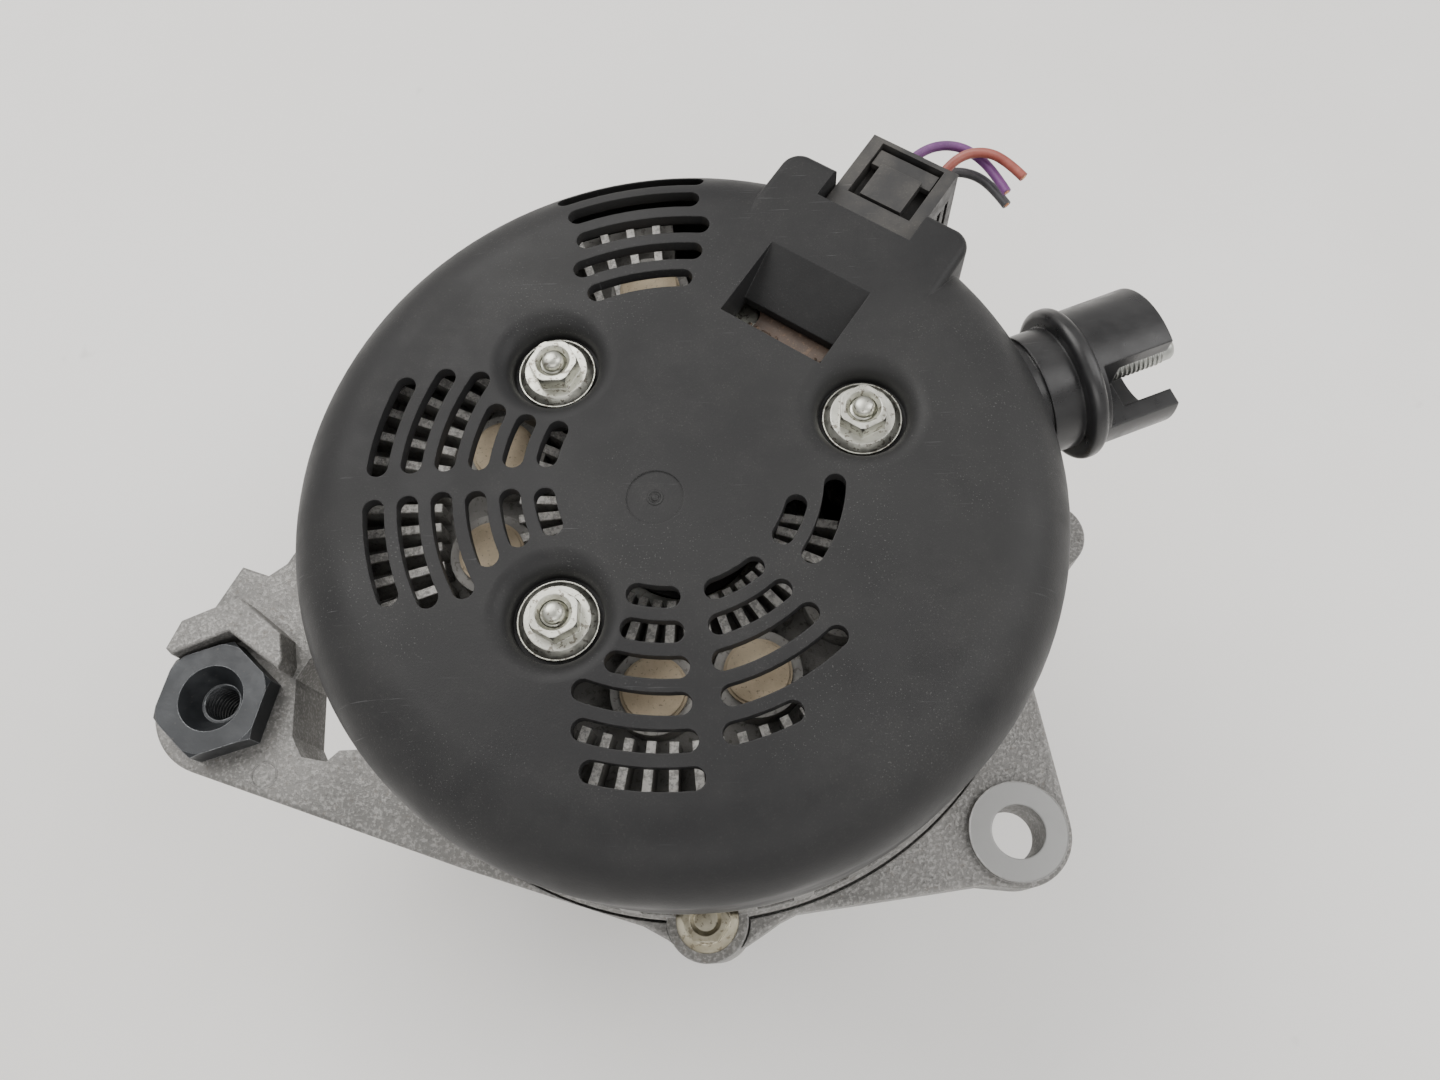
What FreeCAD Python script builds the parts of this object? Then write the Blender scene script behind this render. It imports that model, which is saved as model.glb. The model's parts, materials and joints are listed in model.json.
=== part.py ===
import FreeCAD, Part
import math
import os
import re
import Sketcher
from FreeCAD import Placement, Rotation, Vector

# Car alternator, standing on its pulley: Z is the rotor's axis, z = 0 is the pulley's outer face,
# and the plastic rear cover is at the top. X points at one through bolt's side, Y at the hood's side.

DRIVING = [
    # rear cover
    ("cover_top", 142.0), ("cover_radius", 70.8), ("cover_wall", 2.5), ("cover_shoulder", 14.5),
    ("cover_rim", 105.0), ("slot_width", 3.8), ("ring_first", 22.3), ("ring_step", 6.0),
    ("well_floor", 137.0), ("well_radius", 7.9), ("well_lip", 4.0), ("well_boss", 10.4),
    # hood over the connector and the scoop beside it, both turned by hood_turn about Z
    ("hood_turn", 56.0), ("hood_reach", 70.6), ("hood_half", 20.2), ("hood_low", 112.0),
    ("notch_from", 63.4), ("notch_half", 10.1), ("scoop_from", 32.3), ("scoop_to", 49.8),
    ("scoop_edge", 40.0), ("scoop_drop", 6.0), ("scoop_left", -11.5), ("scoop_right", 10.0),
    ("scoop_under", 8.2),
    # M5 studs, washers and flange nuts of the cover
    ("stud_radius", 2.5), ("stud_tip", 1.9), ("stud_end", 143.8), ("collar_flats", 8.0),
    ("washer_radius", 7.1), ("washer_thick", 1.0), ("flange_radius", 6.9), ("flange_thick", 1.2),
    ("nut_flats", 8.0), ("nut_tall", 3.3),
    # cast frames
    ("split_plane", 84.0), ("frame_radius", 71.5), ("barrel_radius", 70.0), ("ear_top", 92.0),
    ("rear_wall_low", 102.0), ("rear_wall_top", 108.0), ("front_wall_low", 37.0),
    ("front_wall_top", 43.0), ("nose_low", 29.0), ("window_count", 40.0), ("intake_count", 12.0),
    ("bolt_circle", 71.4), ("bolt_turn", -87.4), ("ear_radius", 7.9), ("bolt_radius", 2.5),
    ("bolt_flange", 6.1), ("bolt_low", 62.0),
    # mounting lugs
    ("lug_x", 64.6), ("lug_y", -54.8), ("lug_hole", 5.25), ("lug_end", 10.7), ("lug_boss", 9.8),
    ("lug_top", 89.0), ("lug_low", 76.0), ("arm_x", -101.2), ("arm_y", -27.3), ("arm_end", 15.1),
    ("arm_low", 72.0), ("arm_wall_top", 96.5), ("slip_flats", 22.0), ("slip_turn", 17.6),
    ("slip_top", 94.6),
    ("slip_hole", 4.25), ("slip_mouth", 7.0), ("lobe_x", 78.2), ("lobe_y", 9.5), ("lobe_radius", 8.0),
    ("lobe_low", 66.0),
    # stator
    ("core_radius", 65.5), ("core_bore", 52.6), ("core_low", 60.0), ("core_top", 90.0),
    ("winding_out", 62.0), ("winding_in", 54.0), ("winding_over", 7.0), ("tooth_count", 48.0),
    # rotor
    ("rotor_radius", 52.2), ("pole_low", 56.0), ("pole_top", 94.0), ("pole_disc", 11.0),
    ("claw_count", 8.0), ("claw_root", 15.5), ("claw_tip", 7.0), ("claw_thick", 9.0),
    ("coil_radius", 41.5), ("bobbin_thick", 1.2), ("core_half", 24.0), ("shaft_core", 9.5),
    ("fan_radius", 50.0), ("fan_root", 33.0), ("blade_tall", 5.6), ("fan_plate", 1.5),
    ("blade_count", 11.0),
    ("shaft_low", 2.0), ("thread_radius", 8.0), ("shaft_front", 8.5), ("shaft_rear", 7.5),
    ("shaft_tail", 5.0), ("tail_low", 116.5), ("shaft_end", 134.5),
    ("ring_radius", 7.2), ("ring_tall", 6.0), ("ring_low", 119.5), ("ring_gap", 1.6),
    # bearings: 17 x 47 x 14 at the front, 15 x 35 x 11 at the rear
    ("front_bore", 8.5), ("front_outer", 23.5), ("front_low", 31.0), ("front_wide", 14.0),
    ("front_pitch", 16.0), ("front_ball", 4.3), ("front_balls", 7.0),
    ("rear_bore", 7.5), ("rear_outer", 17.5), ("rear_low", 104.5), ("rear_wide", 11.0),
    ("rear_pitch", 12.5), ("rear_ball", 3.0), ("rear_balls", 8.0),
    ("sleeve_radius", 18.6), ("ball_gap", 0.05), ("pocket_gap", 0.12), ("retainer_circle", 27.5),
    ("retainer_shank", 2.0), ("retainer_radius", 31.5),
    # pulley, six ribs
    ("pulley_radius", 28.0), ("pulley_wide", 27.0), ("rib_step", 3.56), ("rib_deep", 2.9),
    ("rib_count", 6.0), ("recess_radius", 22.0), ("recess_deep", 14.0), ("pulley_nut_flats", 24.0),
    ("pulley_nut_low", 4.0), ("spacer_radius", 12.0),
    # rectifier
    ("sink_from", 92.0), ("sink_sweep", 262.0), ("sink_in", 18.0), ("sink_out", 64.0),
    ("positive_low", 119.5), ("sink_thick", 3.5), ("fin_top", 129.5), ("fin_thick", 1.6),
    ("negative_low", 109.5), ("diode_radius", 6.0), ("diode_circle", 35.2), ("diode_top", 130.0),
    ("holder_low", 114.8), ("holder_thick", 3.2), ("stud_way", 6.5), ("screw_way", 2.2),
    ("screw_post", 4.5), ("screw_shank", 2.0), ("screw_head", 4.0),
    # regulator, brushes, connector
    ("regulator_from", 27.0), ("regulator_to", 55.0), ("regulator_half", 15.0),
    ("regulator_low", 108.0), ("regulator_top", 133.3), ("brush_wide", 5.0), ("brush_tall", 4.6),
    ("brush_long", 11.0), ("brush_clear", 0.06), ("holder_front", 9.0),
    ("holder_half", 6.5), ("channel_end", 1.5),
    ("channel_gap", 0.1), ("spring_out", 1.9), ("spring_in", 1.3),
    ("plug_from", 64.0), ("plug_to", 84.0), ("plug_half", 9.5), ("plug_low", 116.5),
    ("plug_top", 138.5), ("socket_half", 6.4), ("socket_low", 119.5), ("socket_top", 132.0),
    ("wire_radius", 1.0), ("wire_way", 1.05), ("pivot_radius", 0.8), ("pivot_gap", 0.07),
    ("pivot_back", 2.6), ("pivot_drop", 1.9),
    # output terminal
    ("terminal_turn", 20.5), ("terminal_side", -0.3), ("terminal_z", 120.0),
    ("terminal_neck", 11.7), ("terminal_step", 71.8), ("terminal_flange", 15.4),
    ("terminal_disc", 78.0), ("disc_thick", 3.6), ("terminal_cup", 13.8), ("terminal_from", 66.0),
    ("terminal_to", 96.8), ("terminal_stud", 3.0), ("terminal_tip", 103.3), ("terminal_root", 3.5),
    ("cup_floor", 87.0), ("cup_wall", 3.2), ("window_from", 82.6), ("window_side", -4.8),
    ("window_drop", 3.5), ("strap_face", 61.0), ("strap_thick", 3.0), ("strap_sweep", 21.8),
]

# The cover's vents: for each group, ring number (0 is the smallest) and the angles it spans.
VENTS = {
    "left_upper": {0: (156, 170), 1: (158, 172), 2: (158, 174), 3: (151, 175), 4: (154, 176),
                   5: (159, 177)},
    "left_lower": {0: (190, 204), 1: (188, 203), 2: (187, 205), 3: (186, 210), 4: (186, 208),
                   5: (186, 204)},
    "bottom_left": {0: (256, 270), 1: (257.3, 271.5), 2: (255.5, 272.8), 3: (250, 273), 4: (253, 274),
                    5: (256.8, 274.8)},
    "bottom_right": {0: (290, 309), 1: (287.2, 311), 2: (285.2, 312), 3: (285, 313), 4: (283.4, 295.6)},
    "right": {0: (329, 344), 1: (328, 355)},
    "top": {3: (88, 111), 4: (86, 112), 5: (85, 109), 6: (87.5, 109), 7: (87, 110)},
}
STUDS = [(-22.0, 23.0), (-19.2, -24.8), (33.7, 12.0)]
DIODE_TURNS = [161.0, 195.0, 264.0, 294.0, 329.0]
TOP_DIODE = (-6.3, 46.5)
SINK_SCREWS = [(-38.0, 42.0), (-45.0, -36.0), (45.0, -29.0)]

doc = FreeCAD.newDocument("alternator")
sheet = doc.addObject("Spreadsheet::Sheet", "dims")
for row, (alias, amount) in enumerate(DRIVING, start=1):
    sheet.set("A%d" % row, alias)
    sheet.set("B%d" % row, "%g" % amount)
    sheet.setAlias("B%d" % row, alias)
doc.recompute()

ALIASES = {alias for alias, amount in DRIVING}
nodes = []


def ref(text):
    """Turn plain words into references to the sheet's cells."""
    return re.sub(r"[a-z_]+", lambda m: "dims." + m.group(0) if m.group(0) in ALIASES else m.group(0),
                  str(text))


def num(text):
    """The value of an expression, in millimetres or degrees."""
    amount = sheet.evalExpression(ref(text))
    return float(getattr(amount, "Value", amount))


def node(name, obj):
    """Register the finished object of one sub-part under its node name."""
    obj.Label = name
    nodes.append(obj)
    return obj


def bind(obj, **texts):
    """Bind properties to expressions; a double underscore stands for a dot."""
    for key, text in texts.items():
        obj.setExpression(key.replace("__", "."), ref(text))
    return obj


# ---- Part primitives, each bound to the sheet -------------------------------------------------

def put(obj, x="0", y="0", z="0", turn=None, axis=Vector(0, 0, 1)):
    if turn is not None:
        obj.Placement = Placement(Vector(0, 0, 0), Rotation(axis, num(turn)))
        bind(obj, Placement__Rotation__Angle=str(turn))
    return bind(obj, Placement__Base__x=x, Placement__Base__y=y, Placement__Base__z=z)


def cylinder(name, radius, height, x="0", y="0", z="0", turn=None, axis=Vector(0, 0, 1)):
    obj = doc.addObject("Part::Cylinder", name)
    bind(obj, Radius=radius, Height=height)
    return put(obj, x, y, z, turn, axis)


def cone(name, low, high, height, x="0", y="0", z="0"):
    obj = doc.addObject("Part::Cone", name)
    bind(obj, Radius1=low, Radius2=high, Height=height)
    return put(obj, x, y, z)


def box(name, length, width, height, x="0", y="0", z="0", turn=None):
    obj = doc.addObject("Part::Box", name)
    bind(obj, Length=length, Width=width, Height=height)
    return put(obj, x, y, z, turn)


def hexagon(name, flats, height, x="0", y="0", z="0", turn="0"):
    obj = doc.addObject("Part::Prism", name)
    obj.Polygon = 6
    bind(obj, Circumradius="(%s) / sqrt(3)" % flats, Height=height)
    return put(obj, x, y, z, turn)


def ball(name, radius, x="0", y="0", z="0"):
    obj = doc.addObject("Part::Sphere", name)
    bind(obj, Radius=radius)
    return put(obj, x, y, z)


def torus(name, big, small, z="0"):
    obj = doc.addObject("Part::Torus", name)
    bind(obj, Radius1=big, Radius2=small)
    return put(obj, "0", "0", z)


def fuse(name, shapes):
    obj = doc.addObject("Part::MultiFuse", name)
    obj.Shapes = shapes
    return obj


def group(name, shapes):
    """Separate solids kept as one group."""
    obj = doc.addObject("Part::Compound", name)
    obj.Links = shapes
    return obj


def cut(name, base, tools):
    obj = doc.addObject("Part::Cut", name)
    obj.Base = base
    obj.Tool = tools[0] if len(tools) == 1 else fuse(name + "_tools", tools)
    return obj


def common(name, base, tool):
    obj = doc.addObject("Part::Common", name)
    obj.Base = base
    obj.Tool = tool
    return obj


def solid(name, shape):
    """A shape worked out in code, for what neither sketches nor primitives make well."""
    obj = doc.addObject("Part::Feature", name)
    place = shape.Placement
    obj.Shape = shape
    obj.Placement = place
    return obj


def radial_box(name, start, end, half, low, high, turn, side="0"):
    """A box from radius start to end, half wide each way, turned about Z and shifted sideways."""
    obj = doc.addObject("Part::Box", name)
    bind(obj, Length="%s - (%s)" % (end, start), Width="2 * (%s)" % half,
         Height="%s - (%s)" % (high, low))
    across = "(%s) - (%s)" % (side, half)
    return put(obj, "(%s) * cos(%s) - (%s) * sin(%s)" % (start, turn, across, turn),
               "(%s) * sin(%s) + (%s) * cos(%s)" % (start, turn, across, turn), low, turn)


def radial_cylinder(name, start, end, radius, turn, side, z):
    """A cylinder lying along a direction turned about Z, from start to end."""
    obj = doc.addObject("Part::Cylinder", name)
    bind(obj, Radius=radius, Height="%s - (%s)" % (end, start))
    heading = Rotation(Vector(0, 0, 1), num(turn)).multiply(Rotation(Vector(0, 1, 0), 90))
    obj.Placement = Placement(Vector(0, 0, 0), heading)
    return bind(obj, Placement__Base__x="(%s) * cos(%s) - (%s) * sin(%s)" % (start, turn, side, turn),
                Placement__Base__y="(%s) * sin(%s) + (%s) * cos(%s)" % (start, turn, side, turn),
                Placement__Base__z=z)


# ---- PartDesign bodies from constrained sketches ----------------------------------------------

def new_body(name):
    return doc.addObject("PartDesign::Body", name)


def base_plane(body, role):
    return next(item for item in body.Origin.OriginFeatures if item.Role == role)


def new_sketch(body, role, lift="0"):
    sketch = body.newObject("Sketcher::SketchObject", body.Name + "_sketch")
    sketch.AttachmentSupport = (base_plane(body, role), [""])
    sketch.MapMode = "FlatFace"
    bind(sketch, AttachmentOffset__Base__z=lift)
    return sketch


def pin_point(sketch, geometry, corner, x, y):
    """Hold one point of the sketch at x, y, measured from the origin."""
    for kind, text, axis in (("DistanceX", x, -2), ("DistanceY", y, -1)):
        amount = num(text)
        if abs(amount) < 1e-7:
            sketch.addConstraint(Sketcher.Constraint("PointOnObject", geometry, corner, axis))
            continue
        index = sketch.addConstraint(Sketcher.Constraint(kind, -1, 1, geometry, corner, amount))
        sketch.setExpression("Constraints[%d]" % index, ref(text))


def outline(sketch, points):
    """A closed outline. Each point is (x, y) or (x, y, radius, side): with a radius, the edge
    that leaves the point is an arc, and side is 1 when its centre is on the left of the way."""
    count = len(points)
    places = [Vector(num(point[0]), num(point[1]), 0) for point in points]
    starts = []
    ends = []
    for index, point in enumerate(points):
        here = places[index]
        there = places[(index + 1) % count]
        if len(point) == 2:
            sketch.addGeometry(Part.LineSegment(here, there), False)
            starts.append(1)
            ends.append(2)
            continue
        radius = num(point[2])
        side = point[3]
        chord = there - here
        left = Vector(-chord.y, chord.x, 0).normalize()
        reach = math.sqrt(max(radius ** 2 - (chord.Length / 2) ** 2, 0.0))
        centre = (here + there) * 0.5 + left * (side * reach)
        middle = centre - left * (side * radius)
        first, last = (here, there) if side == 1 else (there, here)
        sketch.addGeometry(Part.Arc(first, middle, last), False)
        starts.append(1 if side == 1 else 2)
        ends.append(2 if side == 1 else 1)
    for index, point in enumerate(points):
        following = (index + 1) % count
        sketch.addConstraint(Sketcher.Constraint("Coincident", index, ends[index], following,
                                                 starts[following]))
        pin_point(sketch, index, starts[index], point[0], point[1])
        if len(point) == 4:
            row = sketch.addConstraint(Sketcher.Constraint("Radius", index, num(point[2])))
            sketch.setExpression("Constraints[%d]" % row, ref(point[2]))
    return sketch


def turned(name, points):
    """A body of revolution about Z, from an outline of radius and height."""
    body = new_body(name)
    sketch = outline(new_sketch(body, "XZ_Plane"), points)
    feature = body.newObject("PartDesign::Revolution", name + "_turn")
    feature.Profile = (sketch, [""])
    feature.ReferenceAxis = (sketch, ["V_Axis"])
    feature.Angle = 360
    return body


def plate(name, points, low, high):
    """A body padded upwards from low to high."""
    body = new_body(name)
    sketch = outline(new_sketch(body, "XY_Plane", low), points)
    pad(body, sketch, "%s - (%s)" % (high, low))
    return body


def pad(body, sketch, length):
    feature = body.newObject("PartDesign::Pad", body.Name + "_pad")
    feature.Profile = (sketch, [""])
    return bind(feature, Length=length)


def repeat(body, features, count):
    """Repeat features of the body round Z."""
    pattern = body.newObject("PartDesign::PolarPattern", body.Name + "_ring")
    pattern.Originals = features
    pattern.Axis = (base_plane(body, "Z_Axis"), [""])
    pattern.Angle = 360
    bind(pattern, Occurrences=count)
    body.Tip = pattern
    return pattern


def soften_top(body, radius):
    """Round the edges round the highest face of a body."""
    doc.recompute()
    feature = body.Tip
    faces = feature.Shape.Faces
    best = max(range(len(faces)), key=lambda i: faces[i].CenterOfMass.z)
    fillet = body.newObject("PartDesign::Fillet", body.Name + "_soft")
    fillet.Base = (feature, ["Face%d" % (best + 1)])
    return bind(fillet, Radius=radius)


def at(reach, side, z, turn="hood_turn"):
    """A point at a distance along a direction turned about Z, shifted to its right."""
    angle = math.radians(num(turn))
    return Vector(reach * math.cos(angle) + side * math.sin(angle),
                  reach * math.sin(angle) - side * math.cos(angle), z)


# ---- rear cover --------------------------------------------------------------------------------

def vent(ring, first, last):
    """One curved vent, as a tall cutter; the angles are the centres of its full-round ends."""
    radius = num("ring_first") + num("ring_step") * ring
    half = num("slot_width") / 2 * (0.9 if ring == 7 else 1.0)
    low = Vector(0, 0, 100)
    tall = Vector(0, 0, 60)
    band = Part.makeCylinder(radius + half, tall.z, low, Vector(0, 0, 1), last - first)
    band = band.cut(Part.makeCylinder(radius - half, tall.z, low, Vector(0, 0, 1), last - first))
    band.rotate(Vector(0, 0, 0), Vector(0, 0, 1), first)
    ends = [Part.makeCylinder(half, tall.z, low + Vector(radius * math.cos(math.radians(turn)),
                                                        radius * math.sin(math.radians(turn)), 0))
            for turn in (first, last)]
    return band.multiFuse(ends).removeSplitter()


def cover():
    low, high = "cover_rim", "cover_top"
    flat = "cover_radius - cover_shoulder"
    outer = turned("cover_outer", [("0", low), ("cover_radius", low),
                                   ("cover_radius", "cover_top - cover_shoulder",
                                    "cover_shoulder", 1),
                                   (flat, high), ("0", high)])
    inner = turned("cover_inner", [("0", "cover_rim - 1"), ("cover_radius - cover_wall", "cover_rim - 1"),
                                   ("cover_radius - cover_wall", "cover_top - cover_shoulder",
                                    "cover_shoulder - cover_wall", 1),
                                   (flat, "cover_top - cover_wall"), ("0", "cover_top - cover_wall")])
    hood = soft_hood()
    bosses = [cylinder("well_boss_%d" % i, "well_boss", "cover_top - 1 - (well_floor - 2.4)", str(x),
                       str(y), "well_floor - 2.4") for i, (x, y) in enumerate(STUDS)]
    scoop_box = radial_box("scoop_box", "scoop_from - 2.2", "scoop_to + 2.2",
                           "(scoop_right - scoop_left) / 2 + 2", "cover_top - scoop_under",
                           "cover_top - 0.5",
                           "hood_turn", "-(scoop_right + scoop_left) / 2")
    shell = cut("cover_shell", fuse("cover_mass", [outer, hood]), [inner, hood_hollow()])
    whole = fuse("cover_whole", [shell, scoop_box] + bosses + tab_walls())
    tools = [nut_well(i, x, y) for i, (x, y) in enumerate(STUDS)]
    tools.append(scoop_recess())
    tools.append(radial_box("hood_notch", "notch_from", "hood_reach + 5", "notch_half", "90", "150",
                            "hood_turn"))
    tools.append(radial_cylinder("terminal_way", "terminal_from - 8", "80", "terminal_neck + 0.3",
                                 "terminal_turn", "terminal_side", "terminal_z"))
    tools.append(cylinder("gate_mark", "5", "1", "-2.8", "-4.2", "cover_top - 0.25"))
    slots = [vent(ring, *span) for rings in VENTS.values() for ring, span in rings.items()]
    tools.append(solid("vents", Part.makeCompound(slots)))
    return node("rear_cover", cut("rear_cover", whole, tools))


def soft_hood():
    """The block that houses the connector, its upright edges and top edges rounded."""
    block = Part.makeBox(num("hood_reach") - 40, 2 * num("hood_half"),
                         num("cover_top - hood_low"), Vector(40, -num("hood_half"), num("hood_low")))
    far = [edge for edge in block.Edges
           if abs(edge.CenterOfMass.x - num("hood_reach")) < 0.01 and edge.Length < 35
           and abs(abs(edge.CenterOfMass.y) - num("hood_half")) < 0.01]
    block = block.makeFillet(4.0, far)
    rim = [edge for edge in block.Edges
           if abs(edge.CenterOfMass.z - num("cover_top")) < 0.01 and edge.CenterOfMass.x > 41]
    block = block.makeFillet(1.6, rim)
    block.rotate(Vector(0, 0, 0), Vector(0, 0, 1), num("hood_turn"))
    return solid("hood", block)


def hood_hollow():
    return radial_box("hood_hollow", "44", "hood_reach - cover_wall", "hood_half - cover_wall", "95",
                      "cover_top - cover_wall", "hood_turn")


def tab_walls():
    """The inner walls of the two hood tabs, either side of the notch."""
    return [radial_box("tab_wall_%d" % i, "notch_from - 4", "hood_reach - 1", "cover_wall / 2",
                       "hood_low", "cover_top - 2", "hood_turn",
                       "%d * (notch_half + cover_wall / 2)" % side)
            for i, side in enumerate((-1, 1))]


def nut_well(index, x, y):
    """A round well with a soft lip, and the stud's hole in its floor."""
    lip = "well_radius + well_lip"
    body = turned("well_%d" % index,
                  [("0", "well_floor"), ("well_radius", "well_floor"),
                   ("well_radius", "cover_top - well_lip", "well_lip", -1),
                   (lip, "cover_top"), (lip, "cover_top + 3"), ("0", "cover_top + 3")])
    put(body, str(x), str(y))
    hole = cylinder("well_hole_%d" % index, "stud_radius + 0.3", "20", str(x), str(y), "125")
    return group("well_cut_%d" % index, [body, hole])


def scoop_recess():
    """The sunken sloping flap and the opening under its lower edge."""
    left, right = num("scoop_left"), num("scoop_right")
    top = num("cover_top")
    drop = top - num("scoop_drop")
    points = [(num("scoop_to"), top), (num("scoop_edge"), drop), (num("scoop_edge"), top - 12),
              (num("scoop_from"), top - 12), (num("scoop_from"), top + 2), (num("scoop_to"), top + 2)]
    corners = [at(reach, left, z) for reach, z in points]
    face = Part.Face(Part.makePolygon(corners + corners[:1]))
    return solid("scoop_recess", face.extrude(at(0, right - left, 0)))


def cover_fasteners():
    studs, washers, nuts = [], [], []
    for i, (x, y) in enumerate(STUDS):
        x, y = str(x), str(y)
        low = cylinder("stud_low_%d" % i, "stud_radius", "rear_wall_top - rear_wall_low - 1", x, y,
                       "rear_wall_low + 1")
        collar = hexagon("stud_collar_%d" % i, "collar_flats",
                         "well_floor - 2.4 - rear_wall_top", x, y, "rear_wall_top")
        high = cylinder("stud_high_%d" % i, "stud_radius", "stud_end - 2.3 - (well_floor - 2.4)", x, y,
                        "well_floor - 2.4")
        tip = cone("stud_tip_%d" % i, "stud_radius", "stud_tip", "0.4", x, y, "stud_end - 2.3")
        end = cone("stud_round_%d" % i, "stud_tip", "stud_tip * 0.75", "1.9", x, y,
                   "stud_end - 1.9")
        studs.append(fuse("stud_%d" % i, [low, collar, high, tip, end]))
        disc = cylinder("washer_disc_%d" % i, "washer_radius", "washer_thick", x, y, "well_floor")
        eye = cylinder("washer_eye_%d" % i, "stud_radius + 0.15", "washer_thick", x, y, "well_floor")
        washers.append(cut("washer_%d" % i, disc, [eye]))
        seat = "well_floor + washer_thick"
        flange = cone("nut_flange_%d" % i, "flange_radius", "flange_radius - 1.2", "flange_thick",
                      x, y, seat)
        turn = (0, 30, 26)[i]
        hexa = hexagon("nut_hex_%d" % i, "nut_flats", "nut_tall", x, y, seat + " + flange_thick",
                       str(turn))
        crown = cone("nut_crown_%d" % i, "nut_flats * 0.65", "nut_flats * 0.54", "nut_tall + 0.01",
                     x, y, seat + " + flange_thick")
        eye = cylinder("nut_eye_%d" % i, "stud_radius", "12", x, y, seat)
        mouth = cone("nut_mouth_%d" % i, "stud_radius", "stud_radius + 0.7", "0.7", x, y,
                     seat + " + flange_thick + nut_tall - 0.7")
        body = fuse("nut_body_%d" % i, [flange, common("nut_head_%d" % i, hexa, crown)])
        nuts.append(cut("nut_%d" % i, body, [eye, mouth]))
    node("cover_studs", group("cover_studs", studs))
    node("cover_washers", group("cover_washers", washers))
    node("cover_nuts", group("cover_nuts", nuts))


# ---- cast frames -------------------------------------------------------------------------------

def bolt_place(index):
    turn = "(bolt_turn + %d)" % (90 * index)
    return "bolt_circle * cos%s" % turn, "bolt_circle * sin%s" % turn


def ears(name, low, high):
    return [cylinder("%s_%d" % (name, i), "ear_radius", "%s - %s" % (high, low), *bolt_place(i), low)
            for i in range(4)]


def bolt_holes(name):
    return [cylinder("%s_%d" % (name, i), "bolt_radius + 0.25", "60", *bolt_place(i), "bolt_low - 1")
            for i in range(4)]


def windows(name, count, start, end, half, low, high, offset="0"):
    """A ring of radial openings."""
    body = new_body(name)
    sketch = outline(new_sketch(body, "XY_Plane", low),
                     [(start, "-(%s)" % half), (end, "-(%s)" % half), (end, half), (start, half)])
    feature = pad(body, sketch, "%s - (%s)" % (high, low))
    repeat(body, [feature], count)
    put(body, turn=offset)
    return body


def rear_frame():
    inside = "winding_out + 0.5"
    body = turned("rear_casting",
                  [("12", "rear_wall_low"), ("58", "rear_wall_low"), (inside, "rear_wall_low - 5"),
                   (inside, "core_top"), ("core_radius", "core_top"), ("core_radius", "split_plane"),
                   ("frame_radius", "split_plane"), ("frame_radius", "ear_top - 0.6"),
                   ("frame_radius - 0.6", "ear_top"), ("frame_radius - 0.9", "ear_top + 9"),
                   ("67.4", "rear_wall_low + 1.2"), ("67.4", "rear_wall_top - 1"),
                   ("66.4", "rear_wall_top"), ("24", "rear_wall_top"), ("23", "rear_wall_top + 8"),
                   ("sleeve_radius", "rear_wall_top + 8"), ("sleeve_radius", "rear_low"),
                   ("12", "rear_low")])
    mass = fuse("rear_mass", [body] + ears("rear_ear", "split_plane", "ear_top"))
    tools = [cylinder("rear_space", "core_radius", "core_top - split_plane", z="split_plane"),
             windows("rear_windows", "window_count", "61", "73", "3.6", "ear_top + 0.8",
                     "ear_top + 8.2", "4.5"),
             windows("rear_intakes", "intake_count", "28", "50", "4.5", "rear_wall_low - 1",
                     "rear_wall_top + 1", "15")]
    tools += bolt_holes("rear_bolt_hole")
    tools += [cylinder("bolt_seat_%d" % i, "bolt_flange + 0.3", "8", *bolt_place(i), "ear_top")
              for i in range(4)]
    tools += [cylinder("rear_stud_hole_%d" % i, "stud_radius", "8", str(x), str(y),
                       "rear_wall_low + 1") for i, (x, y) in enumerate(STUDS)]
    tools += [cylinder("rear_screw_hole_%d" % i, "screw_shank", "8", str(x), str(y), "rear_wall_top - 5")
              for i, (x, y) in enumerate(SINK_SCREWS)]
    bosses = [cylinder("stud_post_%d" % i, "5.5", "rear_wall_top - rear_wall_low", str(x), str(y),
                       "rear_wall_low") for i, (x, y) in enumerate(STUDS)]
    bosses += [cylinder("screw_post_%d" % i, "screw_post", "negative_low - rear_wall_low", str(x), str(y),
                        "rear_wall_low") for i, (x, y) in enumerate(SINK_SCREWS)]
    carved = cut("rear_carved", mass, tools[:3])
    solid_frame = fuse("rear_posts", [carved] + bosses)
    return node("rear_frame", cut("rear_frame", solid_frame, tools[3:]))


def right_lug():
    body = plate("lug_web", [("8", "-60"), ("8", "-77.1"), ("10.4", "-76"), ("13.6", "-74"),
                             ("17.2", "-71.6"), ("20.5", "-70"), ("57", "lug_y - lug_end + 0.7"),
                             ("lug_x - 1", "lug_y - lug_end + 0.05", "lug_end", 1),
                             ("lug_x + lug_end - 0.1", "lug_y + 2"), ("69.6", "-18"), ("52", "-18"),
                             ("44", "-44")], "lug_low + 1", "lug_top - 1.2")
    soften_top(body, "0.8")
    boss = cylinder("lug_boss_mass", "lug_boss", "lug_top - lug_low", "lug_x", "lug_y", "lug_low")
    return [body, boss]


def side_lobe():
    """The blind cast lobe on the right, beside the through bolt."""
    tall = "split_plane - lobe_low"
    lobe = cylinder("lobe_mass", "lobe_radius", tall, "lobe_x", "lobe_y", "lobe_low")
    root = box("lobe_root", "lobe_x - 60", "2 * lobe_radius", tall, "60", "lobe_y - lobe_radius",
               "lobe_low")
    return [lobe, root]


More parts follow.
